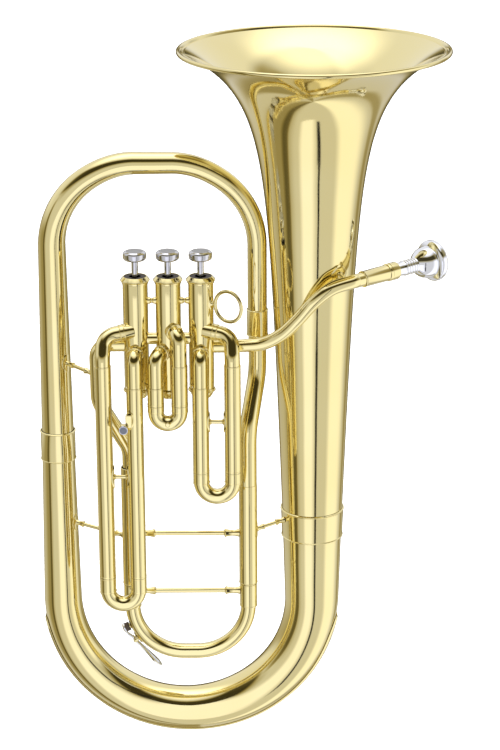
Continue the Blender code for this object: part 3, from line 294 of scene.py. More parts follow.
def make_tube_tree():
    tree = bpy.data.node_groups.new("Tube along a path", "GeometryNodeTree")
    face = tree.interface
    face.new_socket("Geometry", in_out="INPUT", socket_type="NodeSocketGeometry")
    sides = face.new_socket("Sides", in_out="INPUT", socket_type="NodeSocketInt")
    metal = face.new_socket("Metal", in_out="INPUT", socket_type="NodeSocketMaterial")
    closed = face.new_socket("Capped", in_out="INPUT", socket_type="NodeSocketBool")
    face.new_socket("Geometry", in_out="OUTPUT", socket_type="NodeSocketGeometry")
    new, link = tree.nodes.new, tree.links.new
    start, end = new("NodeGroupInput"), new("NodeGroupOutput")
    path, radius = new("GeometryNodeMeshToCurve"), new("GeometryNodeInputNamedAttribute")
    radius.inputs["Name"].default_value = "tube_radius"
    swell, ring = new("GeometryNodeSetCurveRadius"), new("GeometryNodeCurvePrimitiveCircle")
    ring.inputs["Radius"].default_value = 1.0
    sweep, smooth = new("GeometryNodeCurveToMesh"), new("GeometryNodeSetShadeSmooth")
    paint = new("GeometryNodeSetMaterial")
    real = new("GeometryNodeRealizeInstances")
    link(start.outputs["Geometry"], path.inputs["Mesh"])
    link(path.outputs["Curve"], swell.inputs["Curve"])
    link(radius.outputs["Attribute"], swell.inputs["Radius"])
    link(start.outputs["Sides"], ring.inputs["Resolution"])
    link(swell.outputs["Curve"], sweep.inputs["Curve"])
    link(ring.outputs["Curve"], sweep.inputs["Profile Curve"])
    link(start.outputs["Capped"], sweep.inputs["Fill Caps"])
    if "Scale" in sweep.inputs:
        link(radius.outputs["Attribute"], sweep.inputs["Scale"])
    link(sweep.outputs["Mesh"], smooth.inputs["Geometry"])
    link(smooth.outputs["Geometry"], real.inputs["Geometry"])
    link(real.outputs["Geometry"], paint.inputs["Geometry"])
    link(start.outputs["Metal"], paint.inputs["Material"])
    link(paint.outputs["Geometry"], end.inputs["Geometry"])
    return tree, sides.identifier, metal.identifier, closed.identifier


TUBE_TREE, SIDES, METAL, CAPPED = make_tube_tree()


SHARP_ANGLE = 34.0


def baked(obj, sharp=SHARP_ANGLE, recalculate=False):
    """The object as its modifiers leave it, as one plain mesh at the origin."""
    graph = bpy.context.evaluated_depsgraph_get()
    mesh = bpy.data.meshes.new_from_object(obj.evaluated_get(graph), depsgraph=graph)
    mesh.transform(obj.matrix_world)
    work = bmesh.new()
    work.from_mesh(mesh)
    bmesh.ops.remove_doubles(work, verts=work.verts, dist=0.000001)
    if recalculate:
        bmesh.ops.recalc_face_normals(work, faces=work.faces)
    work.to_mesh(mesh)
    work.free()
    mesh.shade_smooth()
    mesh.set_sharp_from_angle(angle=math.radians(sharp))
    mesh.name = obj.name
    plain = placed(obj.name, mesh)
    materials = [m for m in obj.data.materials if m]
    bpy.data.objects.remove(obj, do_unlink=True)
    if not mesh.materials:
        for material in materials:
            mesh.materials.append(material)
    return plain


def swept(name, points, stations, wall=0.0, sides=64, metal=BRASS, cyclic=False):
    """A round tube, or with no wall a solid bar, along a route."""
    route = with_radii(points, stations)
    mesh = bpy.data.meshes.new(name)
    edges = [(i, i + 1) for i in range(len(route) - 1)]
    if cyclic:
        edges.append((len(route) - 1, 0))
    mesh.from_pydata([p for p, r in route], edges, [])
    radii = mesh.attributes.new("tube_radius", "FLOAT", "POINT")
    for item, (p, r) in zip(radii.data, route):
        item.value = r
    obj = placed(name, mesh)
    nodes = obj.modifiers.new("tube", "NODES")
    nodes.node_group = TUBE_TREE
    nodes[SIDES], nodes[METAL], nodes[CAPPED] = sides, metal, not wall and not cyclic
    if wall:
        solid = obj.modifiers.new("wall", "SOLIDIFY")
        solid.thickness, solid.offset = wall, -1
    return baked(obj)


print("tube tree inputs:", SIDES, METAL, CAPPED)

# %% [markdown]
# ## The lathe
# Caps, buttons, sockets, ferrules and the mouthpiece are turned on a lathe, and the bell is
# spun. All of them are a profile taken round an axis, so one function with a Screw modifier
# makes them. Small arcs in the profiles round the edges, which is what catches the light.

# %% Turned pieces
def arc(centre_r, centre_z, radius, start, stop, count=7):
    """Points of a circular arc in a profile; angles in degrees, 0 points outwards."""
    angles = [math.radians(start + (stop - start) * i / (count - 1)) for i in range(count)]
    return [(centre_r + radius * math.cos(a), centre_z + radius * math.sin(a)) for a in angles]


def aim(direction):
    return Vector(direction).to_track_quat("Z", "Y").to_matrix().to_4x4()


def turned(name, profile, place=(0, 0, 0), direction=(0, 0, 1), metal=BRASS, steps=72,
           closed=False):
    """A profile of (radius, height) points, top to bottom on its outer side, turned round."""
    mesh = bpy.data.meshes.new(name)
    edges = [(i, i + 1) for i in range(len(profile) - 1)]
    if closed:
        edges.append((len(profile) - 1, 0))
    mesh.from_pydata([(max(r, 0.0), 0, z) for r, z in profile], edges, [])
    mesh.materials.append(metal)
    obj = placed(name, mesh)
    obj.matrix_world = Matrix.Translation(place) @ aim(direction)
    screw = obj.modifiers.new("turn", "SCREW")
    screw.steps = screw.render_steps = steps
    screw.use_merge_vertices = True
    screw.merge_threshold = 0.00001
    bpy.context.view_layer.update()
    return baked(obj, recalculate=True)


def joined(name, pieces):
    """Several plain pieces as one."""
    first = pieces[0]
    work = bmesh.new()
    materials = []
    for piece in pieces:
        start = len(work.faces)
        work.from_mesh(piece.data)
        work.faces.ensure_lookup_table()
        for metal in piece.data.materials:
            if metal not in materials:
                materials.append(metal)
        for face in work.faces[start:]:
            face.material_index = materials.index(piece.data.materials[face.material_index])
    work.to_mesh(first.data)
    work.free()
    for metal in materials[len(first.data.materials):]:
        first.data.materials.append(metal)
    first.data.set_sharp_from_angle(angle=math.radians(SHARP_ANGLE))
    first.name = first.data.name = name
    for piece in pieces[1:]:
        bpy.data.objects.remove(piece, do_unlink=True)
    return first


def stands_for(piece, body, slot, *nodes):
    """Places a finished piece on a body, in the room of the frame's own nodes."""
    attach(piece, body)
    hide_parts(*nodes)
    return piece


print("lathe ready")

# %% [markdown]
# ## Bell and main branch
# The bell is spun from sheet: a slow cone that opens into a flare, ending in a wire bead that
# the edge is rolled over. Its radius follows one formula, so the profile is computed.

# %% Sizes of the main branch
BELL_X = 0.1233
HEIGHT = 0.6918
RIM = 0.1270
BEAD = 0.0021
BELL_JOINT = 0.2252
BOW_RADIUS = 0.1233
BOW_LOW, BOW_LEFT, BOW_RIGHT = 0.0213, 0.0184, 0.0266
BRANCH_JOINT, BRANCH_R = 0.3062, 0.0156
GUARD = 0.0013
GAP = 0.0003


def bell_radius(z):
    base, top = (0.0286 + 0.0347 * (h - BELL_JOINT) for h in (z, HEIGHT))
    flare = (0.150 / (0.150 + HEIGHT - z)) ** 3.9
    return base + (RIM - BEAD - top) * flare


def guard_inside(radius):
    return radius / math.cos(math.pi / 24) + GAP


BEND_Z = guard_inside(BOW_LOW) + GUARD + BOW_RADIUS
print(f"bow's centre of curvature at {BEND_Z:.4f} m, throat {bell_radius(BELL_JOINT):.4f} m")


# %% The spun bell
def make_bell():
    low, high, rows = BELL_JOINT, HEIGHT - BEAD, 110
    heights = [low + (high - low) * (1 - (1 - i / rows) ** 1.7) for i in range(rows + 1)]
    outside = [(bell_radius(z), z) for z in reversed(heights[:-1])]
    inside = []
    for z in heights[:-1]:
        slope = (bell_radius(z + MM) - bell_radius(z - MM)) / (2 * MM)
        inside.append((bell_radius(z) - 0.6 * MM * math.hypot(1, slope), z))
    bead = arc(RIM - BEAD, high, BEAD, 150, -120, 22)
    profile = bead + outside + inside + [(RIM - 2.3 * BEAD, high - 0.3 * BEAD)]
    bell = turned("spun_bell", profile, (BELL_X, 0, 0), steps=192, closed=True)
    return stands_for(bell, HORN, "lacquered_brass", "bell")


def bow_leg_radius(z):
    return BOW_RIGHT + (bell_radius(BELL_JOINT) - BOW_RIGHT) * (z - BEND_Z) / (BELL_JOINT - BEND_Z)


def make_bell_ferrule():
    low, high = BELL_JOINT - 0.015, BELL_JOINT + 0.015
    wall, lip = 0.9 * MM, 0.55 * MM
    top, foot = bell_radius(high) + GAP, bow_leg_radius(low) + GAP
    profile = arc(top + wall, high - 1.1 * MM, lip, 120, -70, 9)
    profile += [(top + wall - 0.1 * MM, high - 2.0 * MM), (foot + wall - 0.1 * MM, low + 2.0 * MM)]
    profile += arc(foot + wall, low + 1.1 * MM, lip, 70, -120, 9)
    profile += [(foot, low + 0.2 * MM), (bell_radius(BELL_JOINT) + GAP, BELL_JOINT),
                (top, high - 0.2 * MM)]
    band = turned("bell_joint_ferrule", profile, (BELL_X, 0, 0), steps=128, closed=True)
    return stands_for(band, HORN, "lacquered_brass", "bell_ferrule")


BELL = make_bell()
make_bell_ferrule()
print("bell faces:", len(BELL.data.polygons))


# %% [markdown]
# The bottom bow is the widest bend of the horn, and the place where it is set down. A guard
# plate is soldered over its outermost line, with rounded ends and a soft edge.

# %% Bottom bow, its guard and the branch ferrule
def make_bottom_bow():
    corners = [(-BELL_X, 0, BRANCH_JOINT), (-BELL_X, 0, BEND_Z - BOW_RADIUS),
               (BELL_X, 0, BEND_Z - BOW_RADIUS), (BELL_X, 0, BELL_JOINT)]
    points = bent_route(corners, [BOW_RADIUS, BOW_RADIUS], 2.0)
    left, right, half = BRANCH_JOINT - BEND_Z, BELL_JOINT - BEND_Z, math.pi * BOW_RADIUS / 2
    stations = [(0, BRANCH_R), (left, BOW_LEFT), (left + half, BOW_LOW), (-right, BOW_RIGHT),
                (END, bell_radius(BELL_JOINT))]
    bow = swept("drawn_bottom_bow", points, stations, 0.7 * MM, 96)
    return stands_for(bow, HORN, "lacquered_brass", "bottom_bow")


def bow_tube_radius(angle):
    share = angle / (math.pi / 2)
    return BOW_LOW + ((BOW_RIGHT if share > 0 else BOW_LEFT) - BOW_LOW) * abs(share)


def make_guard():
    """A plate wrapped on the bow: an outline that narrows at both ends, with a soft edge."""
    work = bmesh.new()
    last, rows, across = math.radians(82), 132, 18
    centre, grid = Vector((0, 0, BEND_Z)), []
    for i in range(rows + 1):
        angle = -last + 2 * last * i / rows
        outward = Vector((math.sin(angle), 0, -math.cos(angle)))
        from_end = min(i, rows - i) / 10
        tip = math.sqrt(max(0.0, 1 - (1 - min(1.0, from_end)) ** 2)) * 0.72 + 0.28
        reach = math.radians(32) * tip
        row = []
        for k in range(across + 1):
            turn = reach * (2 * k / across - 1)
            edge = min(k, across - k) == 0 or i in (0, rows)
            depth = guard_inside(bow_tube_radius(angle)) + (0.1 * MM if edge else GUARD)
            row.append(work.verts.new(centre + outward * (BOW_RADIUS + depth * math.cos(turn))
                                      + Vector((0, depth * math.sin(turn), 0))))
        grid.append(row)
    for a, b in zip(grid, grid[1:]):
        for k in range(across):
            work.faces.new((a[k], a[k + 1], b[k + 1], b[k]))
    bmesh.ops.recalc_face_normals(work, faces=work.faces)
    mesh = bpy.data.meshes.new("bow_guard_plate")
    work.to_mesh(mesh)
    work.free()
    if mesh.polygons[len(mesh.polygons) // 2].normal.z > 0:
        mesh.flip_normals()
    mesh.materials.append(BRASS)
    obj = placed("bow_guard_plate", mesh)
    solid = obj.modifiers.new("wall", "SOLIDIFY")
    solid.thickness, solid.offset = 0.25 * MM, -1
    return stands_for(baked(obj, 50), HORN, "lacquered_brass", "bow_guard")


def band(name, x, y, low, high, radius, wall=0.8 * MM, lip=0.45 * MM, steps=96):
    """A ferrule: a short sleeve with a bead at each edge."""
    outer = radius + wall
    profile = arc(outer, high - 2 * lip, lip, 120, -80, 9) + [(outer - 0.1 * MM, high - 4 * lip)]
    profile += [(outer - 0.1 * MM, low + 4 * lip)] + arc(outer, low + 2 * lip, lip, 80, -120, 9)
    profile += [(radius, low), (radius, high)]
    return turned(name, profile, (x, y, 0), steps=steps, closed=True)


make_bottom_bow()
make_guard()
stands_for(band("branch_joint_ferrule", -BELL_X, 0, BRANCH_JOINT - 0.015, BRANCH_JOINT + 0.015,
                BRANCH_R + 0.45 * MM), HORN, "lacquered_brass", "branch_ferrule")
print("bottom bow, guard and ferrule in place")

# %% [markdown]
# The top bow carries the air over the valves and down behind them. It tapers all the way, from
# the thumb-thick left branch to the finger-thick tube that meets the valve section.

# %% Top bow and the descending branch
TOP_BEND, CROWN_Z, TOP_RIGHT_X = 0.0780, 0.5830, 0.0703
TOP_JOINT = 0.4292
TUNING_Y, TUNING_L, TUNING_R = -0.0280, -0.0528, 0.0605
SLEEVE_LOW, SLEEVE_HIGH_R, SLEEVE_HIGH_L = 0.1712, 0.2743, 0.2925


def make_top_bow():
    corners = [(-BELL_X, 0, BRANCH_JOINT), (-BELL_X, 0, CROWN_Z), (TOP_RIGHT_X, 0, CROWN_Z),
               (TOP_RIGHT_X, 0, TOP_JOINT)]
    points = bent_route(corners, [TOP_BEND, TOP_BEND], 2.5)
    middle, half = (TOP_RIGHT_X - BELL_X) / 2, (TOP_RIGHT_X + BELL_X) / 2
    # The run between the two bends is bowed up a little, most at its middle.
    crown_reach, crown_lift = half * 0.62, 1.8 * MM
    for point in points:
        swell = max(0.0, 1 - ((point[0] - middle) / crown_reach) ** 2)
        point[2] += crown_lift * swell ** 1.5
    left, right = CROWN_Z - TOP_BEND - BRANCH_JOINT, CROWN_Z - TOP_BEND - TOP_JOINT
    crown = left + math.pi / 2 * TOP_BEND + 0.01
    stations = [(0, BRANCH_R), (left, 0.0131), (crown, 0.0104), (-right, 0.0092), (END, 0.0092)]
    bow = swept("drawn_top_bow", points, stations, 0.7 * MM, 80)
    return stands_for(bow, HORN, "lacquered_brass", "top_bow")


def make_descending_branch():
    corners = [(TOP_RIGHT_X, 0, TOP_JOINT), (TOP_RIGHT_X, 0, 0.3790),
               (TUNING_R, TUNING_Y, 0.3280), (TUNING_R, TUNING_Y, SLEEVE_HIGH_R)]
    points = bent_route(corners, [0.045, 0.045], 2.0)
    tube = swept("drawn_descending_branch", points, [(0, 0.0086), (END, 0.0086)], 0.7 * MM)
    return stands_for(tube, HORN, "lacquered_brass", "descending_branch")


make_top_bow()
make_descending_branch()
stands_for(band("top_joint_ferrule", TOP_RIGHT_X, 0, TOP_JOINT - 0.0131, TOP_JOINT + 0.0131,
                0.0095, 0.6 * MM, 0.35 * MM), HORN, "lacquered_brass", "top_bow_ferrule")
print("top bow in place")

# %% [markdown]
# ## Slides
# A slide is a hairpin: two straight legs, a ferrule on each and a bow between them. The legs
# run inside sleeves that are a little wider. Each sleeve ends in a bead that stiffens its edge.

# %% Beads, ferrules and hairpins
def bead_stations(distance, radius, height=0.28 * MM, half=0.55 * MM):
    """A small rounded bead round a tube at a distance along it."""
    rise = [(-1.0, 0.0), (-0.8, 0.62), (-0.4, 0.93), (0.0, 1.0), (0.4, 0.93), (0.8, 0.62), (1.0, 0.0)]
    return [(distance + s * half, radius + t * height) for s, t in rise]


def hairpin(name, y, left, right, leg_top, bow_z, bend, legs, ferrule, radii, wall, sides=64):
    """Legs, ferrules and bow of a slide; radii are those of leg, ferrule and bow."""
    leg, collar, bow = radii
    corners = [(left, y, leg_top), (left, y, bow_z), (right, y, bow_z), (right, y, leg_top)]
    points = bent_route(corners, [bend, bend], 3.0)
    edge = 0.12 * MM
    half = [(legs + 0.1 * MM, leg), (legs + 0.1 * MM + edge, collar)]
    half += bead_stations(legs + 1.1 * MM, collar, 0.22 * MM, 0.5 * MM)
    half += bead_stations(legs + ferrule - 0.8 * MM, collar, 0.22 * MM, 0.5 * MM)
    half += [(legs + ferrule, collar), (legs + ferrule + edge, bow)]
    mirrored = [(-d, r) for d, r in reversed(half)]
    return swept(name, points, [(0, leg), *half, *mirrored, (END, leg)], wall, sides)


def straight_sleeve(name, x, y, low, high, radius, wall):
    """A straight outer slide tube with a beaded lower edge."""
    profile = arc(radius - 0.1 * MM, high - 0.3 * MM, 0.1 * MM, 90, 0, 4)
    profile += [(radius, low + 1.8 * MM)] + arc(radius, low + 1.0 * MM, 0.35 * MM, 75, -75, 8)
    profile += [(radius, low + 0.2 * MM), (radius - 0.2 * MM, low), (radius - wall, low),
                (radius - wall, high)]
    return turned(name, profile, (x, y, 0), steps=72, closed=True)


# %% Main tuning slide and its sleeves
def make_main_tuning():
    slide = hairpin("tuning_hairpin", TUNING_Y, TUNING_L, TUNING_R, SLEEVE_LOW + 0.090, 0.0982,
                    0.0500, 0.090 + GAP, 0.0240, (0.0081, 0.0084, 0.0073), 0.5 * MM)
    stands_for(slide, "tuning_slide", "lacquered_brass", "main_tuning_slide")
    for side, x, high in (("right", TUNING_R, SLEEVE_HIGH_R), ("left", TUNING_L, SLEEVE_HIGH_L)):
        sleeve = straight_sleeve(f"tuning_outer_{side}", x, TUNING_Y, SLEEVE_LOW, high, 0.0088,
                                 0.5 * MM)
        stands_for(sleeve, HORN, "lacquered_brass", f"tuning_sleeve_{side}")


make_main_tuning()
print("main tuning slide rides on", "tuning_slide")

# %% Valve slides: elbow and sleeve in one, then the hairpin
VALVE_X = {1: 0.0175, 2: -0.0131, 3: -0.0437}
VALVE_Y, SLIDE_Y = -0.0360, -0.0582
CASING_R, CASING_LOW, CASING_HIGH = 0.0118, 0.3765, 0.4788
PISTON_TOP, BUTTON_TOP, TIE_Z, PORT_Z, RING_Z = 0.4700, 0.5096, 0.4617, 0.4245, 0.4602
VALVE_SLIDES = {
    "first": {"valve": 1, "left": (0.0165, "low"), "right": (0.0466, "high"),
              "sleeve_low": 0.2988, "ferrule": 0.0116, "bow_z": 0.2738, "legs": 0.075,
              "bend": 0.0148},
    "second": {"valve": 2, "left": (-0.0254, "low"), "right": (-0.0030, "high"),
               "sleeve_low": 0.3659, "ferrule": 0.0070, "bow_z": 0.3476, "legs": 0.0165,
               "bend": 0.0110},
    "third": {"valve": 3, "left": (-0.0746, "high"), "right": (-0.0452, "low"),
              "sleeve_low": 0.1912, "ferrule": 0.0159, "bow_z": 0.1629, "legs": 0.150,
              "bend": 0.0145},
}
LEVELS = {"high": (0.4345, 0.4050), "low": (0.4136, 0.3838)}
ELBOW_R, SLEEVE_R = 7.25 * MM, 7.8 * MM


def elbow_route(valve, x, level, low):
    """From inside the casing round the elbow and down the sleeve, and where a collar sits."""
    z, seam = LEVELS[level]
    offset = x - VALVE_X[valve]
    if abs(offset) > CASING_R + 5 * MM:
        side = math.copysign(1, offset)
        start = (VALVE_X[valve] + side * 2 * MM, VALVE_Y - 6 * MM, z)
        corners = [start, (x - side * MM, start[1] - 5 * MM, z - 4.2 * MM),
                   (x, SLIDE_Y, z - 24 * MM), (x, SLIDE_Y, low)]
        return bent_route(corners, [0.0145, 0.0170], 4.0), seam, (8.4 * MM, 13.6 * MM)
    corners = [(VALVE_X[valve], VALVE_Y, z), (x, SLIDE_Y, z), (x, SLIDE_Y, low)]
    return bent_route(corners, [0.0105], 4.0), seam, (11.9 * MM, 15.4 * MM)


def make_valve_slide(label, data):
    for side in ("left", "right"):
        x, level = data[side]
        low = data["sleeve_low"]
        points, seam, collar = elbow_route(data["valve"], x, level, low)
        down = seam - low
        stations = [(0, ELBOW_R), (collar[0], SLEEVE_R)]
        stations += bead_stations(collar[0] + 0.8 * MM, SLEEVE_R, 0.3 * MM, 0.6 * MM)
        stations += bead_stations(collar[1] - 0.6 * MM, SLEEVE_R, 0.2 * MM, 0.5 * MM)
        stations += [(collar[1], 7.7 * MM), (collar[1] + 0.15 * MM, ELBOW_R)]
        stations += [(-down - 0.15 * MM, ELBOW_R), (-down, SLEEVE_R)]
        stations += [(-d, r) for d, r in reversed(bead_stations(down - 1.0 * MM, SLEEVE_R,
                                                                0.16 * MM, 0.4 * MM))]
        stations += [(-2.0 * MM, SLEEVE_R)]
        stations += [(-d, r) for d, r in reversed(bead_stations(1.0 * MM, SLEEVE_R, 0.25 * MM))]
        sleeve = swept(f"{label}_elbow_{side}", points, [*stations, (END, SLEEVE_R)], 0.5 * MM)
        stands_for(sleeve, HORN, "lacquered_brass", f"{label}_sleeve_{side}")
    left, right = data["left"][0], data["right"][0]
    slide = hairpin(f"{label}_hairpin", SLIDE_Y, left, right, data["sleeve_low"] + data["legs"],
                    data["bow_z"], data["bend"], data["legs"], data["ferrule"],
                    (7.1 * MM, SLEEVE_R, 7.4 * MM), 0.5 * MM)
    if label == "second":
        knob = turned("second_pull", [(0.0, 5.6 * MM), (1.6 * MM, 5.6 * MM)]
                      + arc(1.6 * MM, 4.9 * MM, 0.7 * MM, 90, -60, 7)
                      + [(1.3 * MM, 3.6 * MM), (1.6 * MM, 0.0), (2.6 * MM, -1.2 * MM)],
                      ((left + right) / 2, SLIDE_Y - 6.6 * MM, data["bow_z"] + 1.6 * MM),
                      (0, -1, 0.15), steps=32)
        slide = joined("second_hairpin", [slide, knob])
    stands_for(slide, f"{label}_slide", "lacquered_brass", f"{label}_slide")


for name, sizes in VALVE_SLIDES.items():
    make_valve_slide(name, sizes)
print("valve slides:", list(VALVE_SLIDES))


# %% [markdown]
# ## Valves
# Each casing is a straight tube between two screwed caps. The top cap is a ring with a dark
# well, where a felt washer sits round the stem; the button is a shallow bowl with a flat top.

# %% Casings and caps
def make_casing(n):
    x = VALVE_X[n]
    profile = arc(CASING_R - 0.15 * MM, CASING_HIGH - 0.15 * MM, 0.15 * MM, 90, 0, 4)
    profile += arc(CASING_R - 0.15 * MM, CASING_LOW + 0.15 * MM, 0.15 * MM, 0, -90, 4)
    profile += [(CASING_R - 1.1 * MM, CASING_LOW), (CASING_R - 1.1 * MM, CASING_HIGH)]
    casing = turned(f"valve_barrel_{n}", profile, (x, VALVE_Y, 0), steps=96, closed=True)
    stands_for(casing, HORN, "lacquered_brass", f"valve_casing_{n}")


def make_top_cap(n):
    low, rim = CASING_HIGH + GAP, 13.9 * MM
    high = low + 6.5 * MM
    hole = 3.6 * MM
    profile = arc(rim - 3.1 * MM, high - 0.45 * MM, 0.45 * MM, 140, 35, 6)
    profile += arc(rim - 0.6 * MM, high - 3.6 * MM, 0.6 * MM, 45, -60, 8)
    profile += [(rim - 1.1 * MM, low + 1.6 * MM), (rim - 1.3 * MM, low), (hole, low)]
    profile += arc(hole + 0.4 * MM, low + 3.0 * MM, 0.4 * MM, 180, 90, 4)
    profile += arc(hole + 1.9 * MM, low + 3.0 * MM, 0.4 * MM, 90, 0, 4)
    profile += [(hole + 2.5 * MM, low + 2.2 * MM), (rim - 4.2 * MM, low + 2.2 * MM),
                (rim - 3.7 * MM, low + 2.8 * MM)]
    place = (VALVE_X[n], VALVE_Y, 0)
    ring = turned(f"top_ring_{n}", profile, place, steps=96, closed=True)
    washer = [(hole + 2.0 * MM, low + 6.2 * MM), (rim - 3.8 * MM, low + 6.0 * MM),
              (rim - 3.6 * MM, low + 2.3 * MM), (hole + 2.0 * MM, low + 2.3 * MM)]
    felt = turned(f"cap_felt_{n}", washer, place, metal=FELT, steps=64, closed=True)
    cap = joined(f"top_ring_{n}", [ring, felt])
    stands_for(cap, HORN, "lacquered_brass", f"top_cap_{n}")


def make_bottom_cap(n):
    rim, high = 13.1 * MM, CASING_LOW - GAP
    low = high - 9.5 * MM
    profile = [(0.0, high), (rim - 1.2 * MM, high)]
    profile += arc(rim - 1.0 * MM, high - 2.1 * MM, 1.0 * MM, 75, -75, 9)
    profile += [(rim - 1.9 * MM, high - 3.8 * MM), (rim - 2.3 * MM, high - 5.4 * MM),
                (rim - 3.4 * MM, low + 1.8 * MM)]
    profile += arc(rim - 5.4 * MM, low + 1.2 * MM, 1.2 * MM, 20, -90, 7) + [(0.0, low)]
    cap = turned(f"bottom_cup_{n}", profile, (VALVE_X[n], VALVE_Y, 0), steps=96)
    stands_for(cap, HORN, "lacquered_brass", f"bottom_cap_{n}")


def make_button(n):
    """A stem with a bowl-shaped button whose flat top is brushed."""
    top, rim = BUTTON_TOP, 11.0 * MM
    collar = PISTON_TOP + 4.2 * MM + GAP
    place = (VALVE_X[n], VALVE_Y, 0)
    profile = arc(rim - 2.4 * MM, top - 0.3 * MM, 0.3 * MM, 90, 50, 4)
    profile += arc(rim - 2.7 * MM, top - 2.9 * MM, 2.7 * MM, 72, 0, 10)
    profile += arc(rim - 3.2 * MM, top - 5.6 * MM, 3.2 * MM, 0, -74, 11)
    profile += [(rim - 4.4 * MM, top - 9.0 * MM), (rim - 6.2 * MM, top - 9.5 * MM),
                (3.7 * MM, top - 9.8 * MM), (3.1 * MM, top - 10.2 * MM), (3.1 * MM, collar),
                (0.0, collar)]
    bowl = turned(f"button_bowl_{n}", [(0.0, top - 0.25 * MM), (7.9 * MM, top - 0.25 * MM),
                                       (8.0 * MM, top)] + profile, place, metal=NICKEL, steps=80)
    disc = turned(f"button_disc_{n}", [(0.0, top + 0.05 * MM), (7.7 * MM, top + 0.02 * MM),
                                       (7.85 * MM, top - 0.2 * MM), (0.0, top - 0.2 * MM)],
                  place, metal=SATIN, steps=64)
    button = joined(f"finger_button_{n}", [bowl, disc])
    stands_for(button, f"valve_{n}", "nickel_plate", f"button_{n}")


for n in VALVE_X:
    make_casing(n)
    make_top_cap(n)
    make_bottom_cap(n)
    make_button(n)
print("valves at", VALVE_X)


# %% Ties and port tubes between the casings
def make_links(right, left):
    x = (VALVE_X[left] + VALVE_X[right]) / 2
    gap = VALVE_X[right] - VALVE_X[left] - 2 * CASING_R
    half = gap / 2 + 0.8 * MM
    waist = [(0.0, half), (3.4 * MM, half), (3.3 * MM, half - 1.5 * MM)]
    waist += [(2.2 * MM + 1.0 * MM * (s / 5) ** 2, 1.7 * MM * s / 5) for s in range(5, -6, -1)]
    waist += [(3.3 * MM, 1.5 * MM - half), (3.4 * MM, -half), (0.0, -half)]
    tie = turned(f"tie_{right}{left}", waist, (x, VALVE_Y, TIE_Z), (1, 0, 0), steps=40)
    stands_for(tie, HORN, "lacquered_brass", f"casing_tie_{right}{left}")
    reach = half + 1.6 * MM
    port = turned(f"port_{right}{left}", [(0.0, reach), (5.65 * MM, reach), (5.65 * MM, -reach),
                                          (0.0, -reach)], (x, VALVE_Y, PORT_Z), (1, 0, 0), steps=56)
    stands_for(port, HORN, "lacquered_brass", f"port_tube_{right}{left}")


make_links(1, 2)
make_links(2, 3)
for n in VALVE_X:
    for node, metal in ((f"piston_{n}", NICKEL), (f"valve_spring_{n}", STEEL)):
        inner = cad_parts[node]
        inner.data.materials.clear()
        inner.data.materials.append(metal)
print("pistons and springs keep their frame shapes")


# %% [markdown]
# ## Wind way from the lips
# The mouthpiece is silver-plated: a rim, a cup and a tapered shank that sits in the receiver.
# The leadpipe swings round the front of the bell to the first valve.

# %% Exit branch, leadpipe, receiver and mouthpiece
AZIMUTH, RISE = math.radians(36), math.radians(2.6)
WAY = Vector((math.cos(RISE) * math.cos(AZIMUTH), math.cos(RISE) * math.sin(AZIMUTH),
              math.sin(RISE)))
RECEIVER = Vector((0.1678, -0.0360, 0.4811))
RECEIVER_LENGTH, MOUTHPIECE_SHOWING = 0.0407, 0.0496
EXIT_Y = VALVE_Y + 2.5 * MM
EXIT_CORNERS = [(VALVE_X[3] - 2 * MM, EXIT_Y, 0.4183), (-0.0815, EXIT_Y, 0.4183),
                (-0.0812, -0.0308, 0.3600), (TUNING_L, TUNING_Y, 0.3110),
                (TUNING_L, TUNING_Y, SLEEVE_HIGH_L)]


def leadpipe_points():
    x, y = VALVE_X[1], VALVE_Y + 3 * MM
    knots = [(x + 1.7 * MM, y, 0.4154), (0.0390, y, 0.4155), (0.0580, y - 0.5 * MM, 0.4162),
             (0.0760, y - 3 * MM, 0.4190), (0.0920, y - 7.5 * MM, 0.4285),
             (0.1070, y - 13.5 * MM, 0.4445), (0.1220, y - 18 * MM, 0.4630),
             (0.1390, y - 17.0 * MM, 0.4762), RECEIVER - WAY * 13 * MM,
             RECEIVER - WAY * 6 * MM, RECEIVER + WAY * 0.2 * MM]
    return smooth_route(knots)


def make_wind_way():
    branch = swept("drawn_exit_branch", bent_route(EXIT_CORNERS, [0.014, 0.028, 0.028], 3.0),
                   [(0, 0.0071), (END, 0.0071)], 0.5 * MM)
    stands_for(branch, HORN, "lacquered_brass", "valve_exit_branch")
    pipe = swept("drawn_leadpipe", leadpipe_points(), [(0, 0.0061), (END, 0.0065)], 0.5 * MM)
    stands_for(pipe, HORN, "lacquered_brass", "leadpipe")
    r, length = 7.7 * MM, RECEIVER_LENGTH
    profile = arc(r + 0.2 * MM, length - 0.5 * MM, 0.5 * MM, 90, 0, 5)
    profile += [(r + 0.7 * MM, length - 8.2 * MM), (r + 0.45 * MM, length - 8.5 * MM),
                (r + 0.7 * MM, length - 8.8 * MM)]
    profile += arc(r + 0.3 * MM, length - 11.2 * MM, 0.4 * MM, 0, -90, 4)
    profile += [(r, length - 12.0 * MM), (r - 0.2 * MM, 2.0 * MM)]
    profile += arc(r - 0.3 * MM, 1.2 * MM, 0.5 * MM, 60, -60, 6)
    profile += [(6.5 * MM, 0.0), (5.4 * MM, 0.0), (6.15 * MM, length - 24 * MM),
                (6.15 * MM, length)]
    receiver = turned("turned_receiver", profile, RECEIVER, WAY, steps=72, closed=True)
    stands_for(receiver, HORN, "lacquered_brass", "mouthpiece_receiver")


